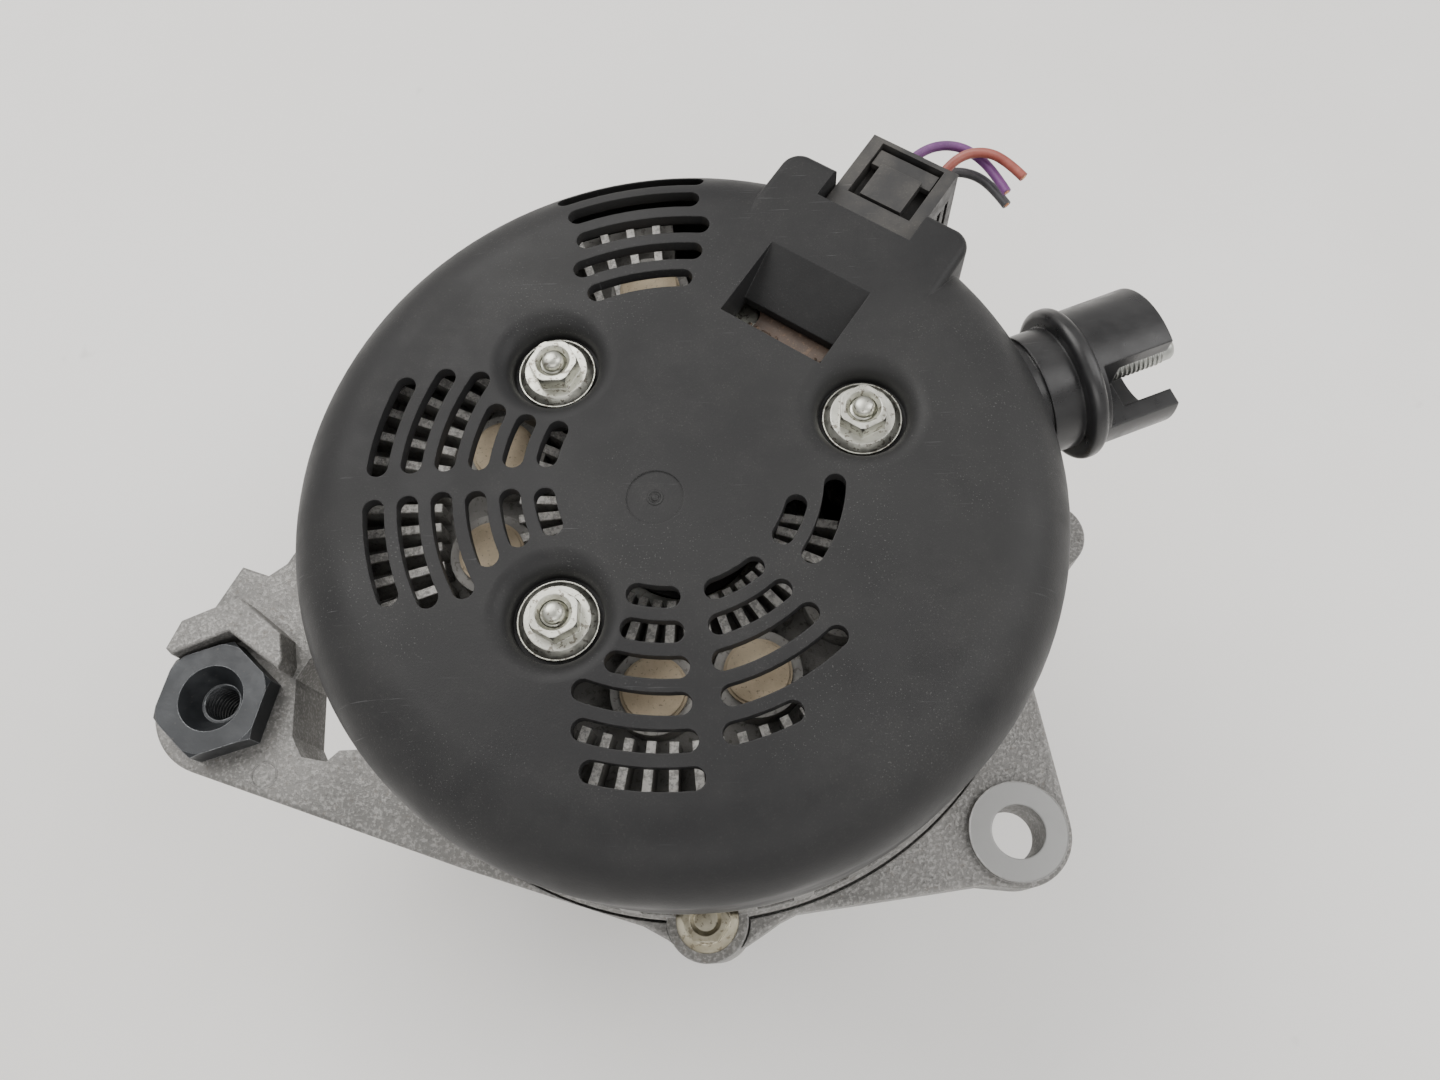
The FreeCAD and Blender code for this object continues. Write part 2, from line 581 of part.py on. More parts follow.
def left_arm():
    """The flat arm with its cast wall, and the upper web that closes the triangle."""
    body = plate("arm_plate",
                 [("-2", "-60"), ("-2", "-76.9"), ("-4.6", "-75"), ("-9.6", "-72.4"),
                  ("-46.9", "-61.2"), ("arm_x - 4.7", "arm_y - arm_end + 0.75", "arm_end", -1),
                  ("arm_x - arm_end", "arm_y + 1"), ("arm_x - 11.3", "arm_y + 9.5"),
                  ("arm_x - 8.9", "arm_y + 16.4"), ("-106.7", "-4.7"), ("-102.2", "4.1"),
                  ("-95.9", "1.9"), ("-92.1", "4.7"), ("-88", "12.5"), ("-66", "18"), ("-55", "-10"),
                  ("-45", "-45")], "arm_low", "lug_top")
    soften_top(body, "0.9")
    gap = plate("arm_gap", [("-60", "-17"), ("-83.5", "-17.5"), ("-86", "-22"), ("-85", "-34.5"),
                            ("-82.5", "-38.8"), ("-77", "-39.8"), ("-74.5", "-37.5"),
                            ("-70", "-37.3"), ("-55", "-36"), ("-50", "-30")],
                "arm_low - 1", "lug_top + 1")
    wall = plate("arm_wall",
                 [("arm_x - 10.8", "arm_y + 10.5"), ("arm_x - 8.4", "arm_y + 16.6"),
                  ("arm_x - 1.2", "arm_y + 19.7"), ("arm_x + 3.8", "arm_y + 21.4"),
                  ("arm_x + 10.7", "arm_y + 16.1"), ("arm_x + 13.9", "arm_y + 13.4"),
                  ("arm_x + 15.1", "arm_y + 7.7"), ("arm_x + 14.5", "arm_y + 5.4"),
                  ("arm_x + 2.4", "arm_y + 14.1"), ("arm_x - 9.4", "arm_y + 9.2")],
                 "arm_low + 2", "arm_wall_top")
    soften_top(wall, "0.6")
    return cut("arm_web", body, [gap]), wall


def front_frame():
    body = turned("front_casting",
                  [("0", "nose_low"), ("27", "nose_low"), ("28.5", "front_wall_low"),
                   ("61", "front_wall_low"), ("barrel_radius", "front_wall_low + 13"),
                   ("barrel_radius", "split_plane - 9"), ("frame_radius", "split_plane - 7.5"),
                   ("frame_radius", "split_plane"), ("0", "split_plane")])
    hollow = turned("front_hollow",
                    [("0", "nose_low - 1"), ("13.5", "nose_low - 1"), ("13.5", "front_low"),
                     ("front_outer", "front_low"), ("front_outer", "front_low + front_wide"),
                     ("32", "front_low + front_wide"), ("34", "front_wall_top"),
                     ("58", "front_wall_top"), ("winding_out + 0.5", "front_wall_top + 7"),
                     ("winding_out + 0.5", "core_low"), ("core_radius", "core_low"),
                     ("core_radius", "split_plane + 20"), ("0", "split_plane + 20")])
    arm, wall = left_arm()
    mass = fuse("front_mass", [body, arm] + right_lug() + side_lobe()
                + ears("front_ear", "bolt_low", "split_plane"))
    clearance = cylinder("rear_seat", "frame_radius + 0.5", "20", z="split_plane")
    seats = [cylinder("ear_seat_%d" % i, "ear_radius + 0.3", "20", *bolt_place(i), "split_plane")
             for i in range(4)]
    tools = [hollow, clearance,
             windows("front_windows", "window_count", "61", "73", "3.4", "front_wall_top + 6",
                     "core_low - 2", "4.5"),
             windows("front_intakes", "intake_count", "33.5", "55", "5", "front_wall_low - 1",
                     "front_wall_top + 1")]
    tools += seats + bolt_holes("front_bolt_hole")
    tools += [cylinder("lug_bore", "lug_hole", "40", "lug_x", "lug_y", "lug_low - 10"),
              cylinder("arm_bore", "slip_hole + 1.75", "40", "arm_x", "arm_y", "arm_low - 10"),
              hexagon("arm_pocket", "slip_flats + 0.4", "40", "arm_x", "arm_y", "lug_top",
                      "slip_turn")]
    tools += [cylinder("retainer_hole_%d" % i, "retainer_shank", "7", x, y, "38.5")
              for i, (x, y) in enumerate(retainer_places())]
    whole = fuse("front_whole", [mass, wall])
    return node("front_frame", cut("front_frame", whole, tools))


def retainer_places():
    return [("retainer_circle * cos(%d)" % turn, "retainer_circle * sin(%d)" % turn)
            for turn in (45, 135, 225, 315)]


def through_bolts():
    bolts = []
    for i in range(4):
        x, y = bolt_place(i)
        shank = cylinder("bolt_shank_%d" % i, "bolt_radius", "ear_top - bolt_low", x, y, "bolt_low")
        flange = cone("bolt_flange_%d" % i, "bolt_flange", "bolt_flange - 1.6", "1.6", x, y, "ear_top")
        head = hexagon("bolt_head_%d" % i, "nut_flats", "3.9", x, y, "ear_top + 1.5", str(18 * i))
        dish = cone("bolt_dish_%d" % i, "2.2", "3.1", "0.9", x, y, "ear_top + 4.55")
        bolts.append(cut("bolt_%d" % i, fuse("bolt_mass_%d" % i, [shank, flange, head]), [dish]))
    return node("through_bolts", group("through_bolts", bolts))


def slip_nut():
    body = hexagon("slip_hex", "slip_flats", "slip_top - lug_top", "arm_x", "arm_y", "lug_top",
                   "slip_turn")
    crown = cone("slip_crown", "slip_flats * 0.85", "slip_flats * 0.53", "slip_top - lug_top",
                 "arm_x", "arm_y", "lug_top")
    neck = cylinder("slip_neck", "slip_hole + 1.6", "lug_top - arm_low", "arm_x", "arm_y", "arm_low")
    bore = cylinder("slip_bore", "slip_hole", "60", "arm_x", "arm_y", "arm_low - 1")
    mouth = cone("slip_mouth_cone", "slip_hole", "slip_mouth", "5", "arm_x", "arm_y",
                 "slip_top - 5")
    mass = fuse("slip_mass", [common("slip_top_hex", body, crown), neck])
    return node("slip_nut", cut("slip_nut", mass, [bore, mouth]))


# ---- stator ------------------------------------------------------------------------------------

def stator():
    ring = cylinder("core_ring", "core_radius", "core_top - core_low", z="core_low")
    bore = cylinder("core_hole", "core_bore", "40", z="core_low - 1")
    slots = windows("core_slots", "tooth_count", "core_bore - 1", "61", "1.6", "core_low - 1",
                    "core_top + 1")
    node("stator_core", cut("stator_core", ring, [bore, slots]))
    low = "core_low - winding_over"
    tall = "core_top - core_low + 2 * winding_over"
    outer = cylinder("winding_outer", "winding_out", tall, z=low)
    inner = cylinder("winding_inner", "winding_in", "80", z="core_low - winding_over - 1")
    middle = cylinder("winding_gap", "winding_out + 1", "core_top - core_low", z="core_low")
    ends = cut("winding_ends", outer, [inner, middle])
    bars = windows("winding_bars", "tooth_count", "winding_in + 0.4", "60.6", "1.4", "core_low - 0.5",
                   "core_top + 0.5")
    node("stator_winding", fuse("stator_winding", [ends, bars]))


# ---- rotor -------------------------------------------------------------------------------------

def pole(name, base, tip, away):
    """One pole piece: a disc with eight tapered claws that reach over the coil."""
    low, high = (base, "%s + pole_disc" % base) if away > 0 else ("%s - pole_disc" % base, base)
    body = turned(name + "_disc", [("shaft_core", low), ("rotor_radius - claw_thick", low),
                                   ("rotor_radius - claw_thick", high), ("shaft_core", high)])
    sketch = outline(new_sketch(body, "XZ_Plane", "-rotor_radius - 2"),
                     [("-claw_root / 2", base), ("claw_root / 2", base), ("claw_tip / 2", tip),
                      ("-claw_tip / 2", tip)] if away > 0 else
                     [("-claw_tip / 2", tip), ("claw_tip / 2", tip), ("claw_root / 2", base),
                      ("-claw_root / 2", base)])
    claw = pad(body, sketch, "claw_thick + 2")
    sketch = outline(new_sketch(body, "XZ_Plane", "-rotor_radius + claw_thick - 1"),
                     [("-claw_root / 2", low), ("claw_root / 2", low), ("claw_root / 2", high),
                      ("-claw_root / 2", high)])
    root = pad(body, sketch, "6")
    repeat(body, [claw, root], "claw_count")
    limit = cylinder(name + "_limit", "rotor_radius", "60", z="pole_low - 5")
    return common(name, body, limit)


def rotor_poles():
    front = pole("front_claws", "pole_low", "pole_top - 5", 1)
    rear = pole("rear_claws", "pole_top", "pole_low + 5", -1)
    put(rear, turn="180 / claw_count")
    node("front_pole_claw", front)
    node("rear_pole_claw", rear)
    low, high = "pole_low + pole_disc", "pole_top - pole_disc"
    node("field_core", turned("field_core", [("shaft_core", low), ("core_half", low),
                                             ("core_half", high), ("shaft_core", high)]))
    wall = "bobbin_thick"
    node("coil_bobbin",
         turned("coil_bobbin",
                [("core_half", low), ("coil_radius + 0.8", low),
                 ("coil_radius + 0.8", "%s + %s" % (low, wall)),
                 ("core_half + " + wall, "%s + %s" % (low, wall)),
                 ("core_half + " + wall, "%s - %s" % (high, wall)),
                 ("coil_radius + 0.8", "%s - %s" % (high, wall)), ("coil_radius + 0.8", high),
                 ("core_half", high)]))
    node("field_coil",
         turned("field_coil", [("core_half + " + wall, "%s + %s" % (low, wall)),
                               ("coil_radius", "%s + %s" % (low, wall)),
                               ("coil_radius", "%s - %s" % (high, wall)),
                               ("core_half + " + wall, "%s - %s" % (high, wall))]))


def shaft():
    body = turned("shaft_turned",
                  [("0", "shaft_low"), ("thread_radius - 1", "shaft_low"),
                   ("thread_radius", "shaft_low + 1"), ("thread_radius", "recess_deep"),
                   ("shaft_front", "recess_deep"), ("shaft_front", "50"), ("shaft_core", "50"),
                   ("shaft_core", "rear_low - 1"), ("shaft_rear", "rear_low - 1"),
                   ("shaft_rear", "tail_low"), ("shaft_tail", "tail_low"),
                   ("shaft_tail", "shaft_end - 0.6"), ("shaft_tail - 0.6", "shaft_end"),
                   ("0", "shaft_end")])
    socket = hexagon("shaft_socket", "8", "10", z="shaft_low")
    node("shaft", cut("shaft", body, [socket]))


def slip_rings():
    rings = []
    for i in range(2):
        z = "ring_low + %d * (ring_tall + ring_gap)" % i
        outer = cylinder("slip_outer_%d" % i, "ring_radius", "ring_tall", z=z)
        inner = cylinder("slip_inner_%d" % i, "ring_radius - 1", "ring_tall", z=z)
        rings.append(cut("slip_ring_%d" % i, outer, [inner]))
    node("slip_rings", group("slip_rings", rings))
    middle = "ring_low + ring_tall"
    node("slip_ring_carrier",
         turned("carrier", [("shaft_tail", "ring_low - 1.5"), ("ring_radius", "ring_low - 1.5"),
                            ("ring_radius", "ring_low"), ("ring_radius - 1", "ring_low"),
                            ("ring_radius - 1", middle), ("ring_radius", middle),
                            ("ring_radius", middle + " + ring_gap"),
                            ("ring_radius - 1", middle + " + ring_gap"),
                            ("ring_radius - 1", "shaft_end - 0.6"), ("shaft_tail", "shaft_end - 0.6")]))


def fan(name, plate_low, blade_low, lean):
    """A pressed steel fan: a flat plate with blades that lean back from the turn."""
    body = turned(name + "_body", [("shaft_core", plate_low), ("fan_radius", plate_low),
                                   ("fan_radius", plate_low + " + fan_plate"),
                                   ("shaft_core", plate_low + " + fan_plate")])
    sketch = outline(new_sketch(body, "XY_Plane", blade_low),
                     [("fan_root", "0"), ("fan_radius - 1", "%d * 9" % lean),
                      ("fan_radius - 1", "%d * 9 + 1.4" % lean), ("fan_root", "1.4")])
    feature = pad(body, sketch, "blade_tall + 0.2")
    repeat(body, [feature], "blade_count")
    return node(name, body)


def pulley():
    """Six V ribs between two rims, with a deep recess for the nut in the outer face."""
    start = "(pulley_wide - rib_count * rib_step) / 2"
    points = [("shaft_front", "recess_deep"), ("recess_radius - 8", "recess_deep"),
              ("recess_radius", "recess_deep - 3"), ("recess_radius", "0"),
              ("pulley_radius - 0.6", "0"), ("pulley_radius", "0.6")]
    for rib in range(int(num("rib_count"))):
        foot = "%s + %d * rib_step" % (start, rib)
        points += [("pulley_radius", foot), ("pulley_radius - rib_deep", foot + " + rib_step * 0.4"),
                   ("pulley_radius - rib_deep", foot + " + rib_step * 0.6")]
    points += [("pulley_radius", "pulley_wide - (%s)" % start), ("pulley_radius", "pulley_wide - 0.6"),
               ("pulley_radius - 0.6", "pulley_wide"), ("pulley_radius - 5", "pulley_wide"),
               ("pulley_radius - 6", "pulley_wide - 4"), ("spacer_radius + 1", "pulley_wide - 4"),
               ("spacer_radius + 1", "pulley_wide"), ("shaft_front", "pulley_wide")]
    node("pulley", turned("pulley_turned", points))
    hexa = hexagon("pulley_hex", "pulley_nut_flats", "recess_deep - pulley_nut_low", z="pulley_nut_low")
    crown = cone("pulley_crown", "pulley_nut_flats * 0.52", "pulley_nut_flats * 0.75",
                 "recess_deep - pulley_nut_low", z="pulley_nut_low")
    eye = cylinder("pulley_eye", "thread_radius", "20", z="pulley_nut_low - 1")
    node("pulley_nut", cut("pulley_nut", common("pulley_nut_mass", hexa, crown), [eye]))
    outer = cylinder("spacer_outer", "spacer_radius", "front_low - pulley_wide", z="pulley_wide")
    inner = cylinder("spacer_inner", "shaft_front", "front_low - pulley_wide", z="pulley_wide")
    node("spacer_collar", cut("spacer_collar", outer, [inner]))


# ---- bearings ----------------------------------------------------------------------------------

def bearing(side):
    """Deep-groove ball bearing: two grooved rings, a ring of balls and their cage."""
    low, wide = side + "_low", side + "_wide"
    middle = "%s + %s / 2" % (low, wide)
    pitch, ball_size = side + "_pitch", side + "_ball"
    groove = torus(side + "_groove", pitch, ball_size + " + ball_gap", middle)
    land = "(%s) * 0.55" % ball_size
    rings = (("outer", side + "_outer", "%s + %s" % (pitch, land)),
             ("inner", "%s - (%s)" % (pitch, land), side + "_bore"))
    for name, outside, inside in rings:
        outer = cylinder("%s_%s_mass" % (side, name), outside, wide, z=low)
        inner = cylinder("%s_%s_hole" % (side, name), inside, wide, z=low)
        node("%s_bearing_%s_ring" % (side, name),
             cut("%s_%s_race" % (side, name), outer, [inner, groove]))
    count = int(num(side + "_balls"))
    balls, pockets = [], []
    for i in range(count):
        place = ("%s * cos(%g)" % (pitch, 360 / count * i), "%s * sin(%g)" % (pitch, 360 / count * i),
                 middle)
        balls.append(ball("%s_ball_%d" % (side, i), ball_size, *place))
        pockets.append(ball("%s_pocket_%d" % (side, i), ball_size + " + pocket_gap", *place))
    node(side + "_bearing_balls", group(side + "_bearing_balls", balls))
    slim = "(%s) * 0.3" % ball_size
    outer = cylinder(side + "_cage_outer", "%s + %s" % (pitch, slim), wide + " - 3", z=low + " + 1.5")
    inner = cylinder(side + "_cage_inner", "%s - %s" % (pitch, slim), wide + " - 3", z=low + " + 1.5")
    node(side + "_bearing_cage", cut(side + "_cage", outer, [inner] + pockets))


def bearing_hardware():
    outer = cylinder("sleeve_outer", "sleeve_radius", "rear_wide", z="rear_low")
    inner = cylinder("sleeve_inner", "rear_outer", "rear_wide", z="rear_low")
    node("rear_bearing_sleeve", cut("rear_bearing_sleeve", outer, [inner]))
    disc = cylinder("retainer_disc", "retainer_radius", "1.6", z="front_low + front_wide")
    eye = cylinder("retainer_eye", "19", "1.6", z="front_low + front_wide")
    places = retainer_places()
    holes = [cylinder("retainer_eye_%d" % i, "retainer_shank + 0.2", "3", x, y,
                      "front_low + front_wide - 0.5") for i, (x, y) in enumerate(places)]
    node("bearing_retainer", cut("bearing_retainer", disc, [eye] + holes))
    screws = []
    for i, (x, y) in enumerate(places):
        shank = cylinder("retainer_shank_%d" % i, "retainer_shank", "8.1", x, y, "38.5")
        head = cone("retainer_head_%d" % i, "3.8", "3.2", "1.8", x, y, "front_low + front_wide + 1.6")
        screws.append(fuse("retainer_screw_%d" % i, [shank, head]))
    node("retainer_screws", group("retainer_screws", screws))


# ---- rectifier ---------------------------------------------------------------------------------

def sector(name, inside, outside, low, thick, first="sink_from", sweep="sink_sweep"):
    outer = cylinder(name + "_outer", outside, thick, z=low)
    inner = cylinder(name + "_inner", inside, thick, z=low)
    for piece in (outer, inner):
        bind(piece, Angle=sweep)
        put(piece, z=low, turn=first)
    return cut(name, outer, [inner])


def diode_places():
    ring = [("diode_circle * cos(%g)" % turn, "diode_circle * sin(%g)" % turn) for turn in DIODE_TURNS]
    return ring + [(str(TOP_DIODE[0]), str(TOP_DIODE[1]))]


def negative_places():
    return [("%g * cos(%g)" % (reach, turn), "%g * sin(%g)" % (reach, turn))
            for reach, turn in ((50, 112), (50, 168), (50, 190), (50, 250), (50, 275), (50, 300))]


def fins(name, pitch, count, start, end):
    """Upright radial fins, all the same height, from start to end."""
    turns = [num("sink_from") + 3 + pitch * i for i in range(count)]
    pieces = []
    for turn in turns:
        fin = Part.makeBox(end - start, num("fin_thick"), num("fin_top - positive_low") - 1,
                           Vector(start, -num("fin_thick") / 2, num("positive_low") + 1))
        fin.rotate(Vector(0, 0, 0), Vector(0, 0, 1), turn)
        pieces.append(fin)
    return solid(name, Part.makeCompound(pieces))


def rectifier():
    base = sector("positive_plate", "sink_in", "sink_out", "positive_low", "sink_thick")
    places = diode_places()
    cups = [cylinder("diode_cup_%d" % i, "diode_radius + 1.8", "diode_top - 1.2 - positive_low", x, y,
                     "positive_low") for i, (x, y) in enumerate(places)]
    rim = [sector("sink_rim", "sink_out - 1.8", "sink_out", "positive_low", "7")]
    mass = fuse("sink_mass", [base, fins("outer_fins", 5.0, 52, 44, 63.5),
                              fins("inner_fins", 7.5, 35, 19, 29.5)] + cups + rim)
    tools = [cylinder("diode_seat_%d" % i, "diode_radius", "20", x, y, "positive_low - 1")
             for i, (x, y) in enumerate(places)]
    tools += [cylinder("sink_way_%d" % i, "stud_way", "40", str(x), str(y), "105")
              for i, (x, y) in enumerate(STUDS)]
    tools += [cylinder("sink_head_%d" % i, "4.4", "20", str(x), str(y), "positive_low + sink_thick")
              for i, (x, y) in enumerate(SINK_SCREWS)]
    tools += [cylinder("sink_hole_%d" % i, "screw_way", "20", str(x), str(y), "positive_low - 1")
              for i, (x, y) in enumerate(SINK_SCREWS)]
    tools.append(radial_cylinder("sink_terminal_way", "50", "80", "terminal_neck + 1",
                                 "terminal_turn", "terminal_side", "terminal_z"))
    node("positive_heat_sink", cut("positive_heat_sink", mass, tools))
    node("positive_diodes",
         group("positive_diodes", [diode("positive_%d" % i, x, y, "positive_low + 2", "diode_top")
                                   for i, (x, y) in enumerate(places)]))

    lower = sector("negative_plate", "24.5", "sink_out", "negative_low", "sink_thick")
    spots = negative_places()
    tools = [cylinder("negative_seat_%d" % i, "diode_radius", "8", x, y, "negative_low - 1")
             for i, (x, y) in enumerate(spots)]
    tools += [cylinder("negative_way_%d" % i, "stud_way", "40", str(x), str(y), "90")
              for i, (x, y) in enumerate(STUDS)]
    tools += [cylinder("negative_hole_%d" % i, "screw_way", "20", str(x), str(y), "100")
              for i, (x, y) in enumerate(SINK_SCREWS)]
    node("negative_heat_sink", cut("negative_heat_sink", lower, tools))
    node("negative_diodes",
         group("negative_diodes", [diode("negative_%d" % i, x, y, "negative_low - 1",
                                         "negative_low + sink_thick + 0.6")
                                   for i, (x, y) in enumerate(spots)]))

    between = sector("holder_sector", "30", "58", "holder_low", "holder_thick")
    tools = [cylinder("holder_way_%d" % i, "stud_way", "40", str(x), str(y), "90")
             for i, (x, y) in enumerate(STUDS)]
    tools += [cylinder("holder_hole_%d" % i, "screw_way", "20", str(x), str(y), "105")
              for i, (x, y) in enumerate(SINK_SCREWS)]
    plates = cut("holder_plate", between, tools)
    posts = []
    for i, (x, y) in enumerate(SINK_SCREWS):
        post = cylinder("holder_post_%d" % i, "screw_post", "positive_low - negative_low - sink_thick",
                        str(x), str(y), "negative_low + sink_thick")
        eye = cylinder("holder_eye_%d" % i, "screw_way", "20", str(x), str(y), "105")
        posts.append(cut("holder_tube_%d" % i, post, [eye]))
    node("terminal_holder", fuse("terminal_holder", [plates] + posts))

    screws = []
    for i, (x, y) in enumerate(SINK_SCREWS):
        shank = cylinder("sink_shank_%d" % i, "screw_shank",
                         "positive_low + sink_thick - rear_wall_top + 5", str(x), str(y),
                         "rear_wall_top - 5")
        head = cylinder("sink_cap_%d" % i, "screw_head", "2.6", str(x), str(y), "positive_low + sink_thick")
        cross = box("sink_cross_%d" % i, "5", "1.2", "2", "%g - 2.5" % x, "%g - 0.6" % y,
                    "positive_low + sink_thick + 1.5")
        screws.append(cut("sink_screw_%d" % i, fuse("sink_screw_mass_%d" % i, [shank, head]), [cross]))
    node("rectifier_screws", group("rectifier_screws", screws))


def diode(name, x, y, low, high):
    """A press-fit button diode with a shallow step round its upper face."""
    can = cylinder(name + "_can", "diode_radius", "%s - (%s) - 0.5" % (high, low), x, y, low)
    cap = cylinder(name + "_cap", "diode_radius - 0.5", "0.5", x, y, "%s - 0.5" % high)
    return fuse(name, [can, cap])


# ---- regulator, brushes and connector -----------------------------------------------------------

def regulator():
    block = radial_box("regulator_block", "regulator_from", "regulator_to", "regulator_half",
                       "regulator_low", "regulator_top", "hood_turn")
    stud = [cylinder("regulator_way", "stud_way", "60", str(STUDS[2][0]), str(STUDS[2][1]), "100")]
    holes = [radial_cylinder_up("regulator_eye_%d" % i, "38", "%d * 11.5" % side, "2.1", "100", "60")
             for i, side in enumerate((-1, 1))]
    sunk = [radial_cylinder_up("regulator_sunk_%d" % i, "38", "%d * 11.5" % side, "4",
                               "regulator_top - 4", "20") for i, side in enumerate((-1, 1))]
    body = cut("regulator", block, stud + holes + sunk)
    node("regulator", body)
    screws = []
    for i, side in enumerate((-1, 1)):
        shank = radial_cylinder_up("regulator_shank_%d" % i, "38", "%d * 11.5" % side, "2",
                                   "rear_wall_top", "regulator_top - 4 - rear_wall_top")
        head = radial_cylinder_up("regulator_cap_%d" % i, "38", "%d * 11.5" % side, "3.6",
                                  "regulator_top - 4", "2.5")
        screws.append(fuse("regulator_screw_%d" % i, [shank, head]))
    node("regulator_screws", group("regulator_screws", screws))


def radial_cylinder_up(name, reach, side, radius, low, height):
    """An upright cylinder placed by its distance along the hood's direction and its side."""
    return cylinder(name, radius, height,
                    "(%s) * cos(hood_turn) + (%s) * sin(hood_turn)" % (reach, side),
                    "(%s) * sin(hood_turn) - (%s) * cos(hood_turn)" % (reach, side), low)


def brush_height(index):
    return "(ring_low + ring_tall / 2 + %d * (ring_tall + ring_gap))" % index


def brushes():
    block = radial_box("holder_block", "holder_front", "regulator_from", "holder_half",
                       "ring_low - 1.2", "ring_low + 2 * ring_tall + ring_gap + 1.2", "hood_turn")
    channels = []
    for i in range(2):
        z = brush_height(i)
        channels.append(radial_box("channel_%d" % i, "holder_front - 1", "regulator_from - channel_end",
                                   "brush_wide / 2 + channel_gap", z + " - brush_tall / 2 - channel_gap",
                                   z + " + brush_tall / 2 + channel_gap", "hood_turn"))
    node("brush_holder", cut("brush_holder", block, channels))
    for i, name in enumerate(("lower", "upper")):
        z = brush_height(i)
        start = "ring_radius + brush_clear"
        brush = radial_box(name + "_block", start, start + " + brush_long", "brush_wide / 2",
                           z + " - brush_tall / 2", z + " + brush_tall / 2", "hood_turn")
        face = cylinder(name + "_face", start, "12", z=z + " - 6")
        node(name + "_brush", cut(name + "_brush", brush, [face]))
        spring_from = start + " + brush_long"
        spring_to = "regulator_from - channel_end"
        outer = radial_cylinder(name + "_coil", spring_from, spring_to, "spring_out", "hood_turn", "0", z)
        inner = radial_cylinder(name + "_coil_hole", spring_from, spring_to, "spring_in", "hood_turn",
                                "0", z)
        node(name + "_brush_spring", cut(name + "_brush_spring", outer, [inner]))


def connector():
    back = radial_box("socket_back", "regulator_to", "plug_from - 0.6", "plug_half - 0.3",
                      "plug_low - 1", "plug_top - 1.2", "hood_turn")
    shell = radial_box("socket_shell", "plug_from - 1", "plug_to - 8", "socket_half", "socket_low",
                       "socket_top", "hood_turn")
    bore = radial_box("socket_bore", "plug_from - 0.5", "plug_to", "socket_half - 1.2",
                      "socket_low + 1.2", "socket_top - 1.2", "hood_turn")
    catch = radial_box("socket_catch", "plug_from + 3.2", "plug_from + 6", "2.6", "socket_top - 0.2",
                       "socket_top + 1.1", "hood_turn")
    node("connector_socket", cut("connector_socket", fuse("socket_mass", [back, shell, catch]), [bore]))
    pins = [radial_box("pin_%d" % i, "plug_from - 0.5", "plug_to - 10.5", "1", "125.4", "126.2",
                       "hood_turn", "%g" % side) for i, side in enumerate((-3.3, 0, 3.3))]
    node("connector_pins", group("connector_pins", pins))

    body = radial_box("plug_mass", "plug_from", "plug_to", "plug_half", "plug_low", "plug_top",
                      "hood_turn")
    cavity = radial_box("plug_cavity", "plug_from - 1", "plug_to - 7.4", "socket_half + 0.3",
                        "socket_low - 0.3", "socket_top + 0.3", "hood_turn")
    lane = radial_box("plug_lane", "plug_from - 1", "plug_from + 6.6", "3", "socket_top",
                      "socket_top + 1.6", "hood_turn")
    bay = radial_box("latch_bay", "plug_from + 5.6", "plug_to - 1", "6.9", "plug_top - 3.6",
                     "plug_top + 1", "hood_turn")
    pivot_way = pivot_rod("pivot_way", "pivot_radius + pivot_gap", num("plug_half") - 1.5)
    rear_step = radial_box("plug_step", "plug_to - 5", "plug_to + 1", "plug_half + 1",
                           "plug_low - 1", "plug_low + 3.2", "hood_turn")
    ribs = [radial_box("rib_cut_%d_%d" % (i, k), "plug_from + %g" % (4 + 3 * i),
                       "plug_from + %g" % (5.4 + 3 * i), "0.5", "plug_low + 3", "plug_top - 5",
                       "hood_turn", "%d * plug_half" % side)
            for i in range(5) for k, side in enumerate((-1, 1))]
    node("connector_plug", cut("connector_plug", body, [cavity, lane, bay, rear_step, pivot_way]
                               + ribs + wire_ways()))

    pad_block = radial_box("latch_pad", "plug_from + 6.2", "plug_to - 5.5", "4.5", "plug_top - 1.5",
                           "plug_top + 0.2", "hood_turn")
    arm = radial_box("latch_arm", "plug_to - 6", "plug_to - 2.2", "6.5", "plug_top - 1.9",
                     "plug_top - 0.5", "hood_turn")
    pin = latch_pin()
    node("plug_latch", fuse("plug_latch", [pad_block, arm, pin]))


def latch_pin():
    """The latch's short pivot, across the plug and into its side walls."""
    return pivot_rod("latch_pin", "pivot_radius", num("plug_half") - 1.6)


def pivot_rod(name, radius, half):
    """A rod on the latch's pivot line, half long each way."""
    reach, height = num("plug_to") - num("pivot_back"), num("plug_top") - num("pivot_drop")
    start, end = at(reach, -half, height), at(reach, half, height)
    return solid(name, Part.makeCylinder(num(radius), 2 * half, start, end - start))


# ---- output terminal ----------------------------------------------------------------------------

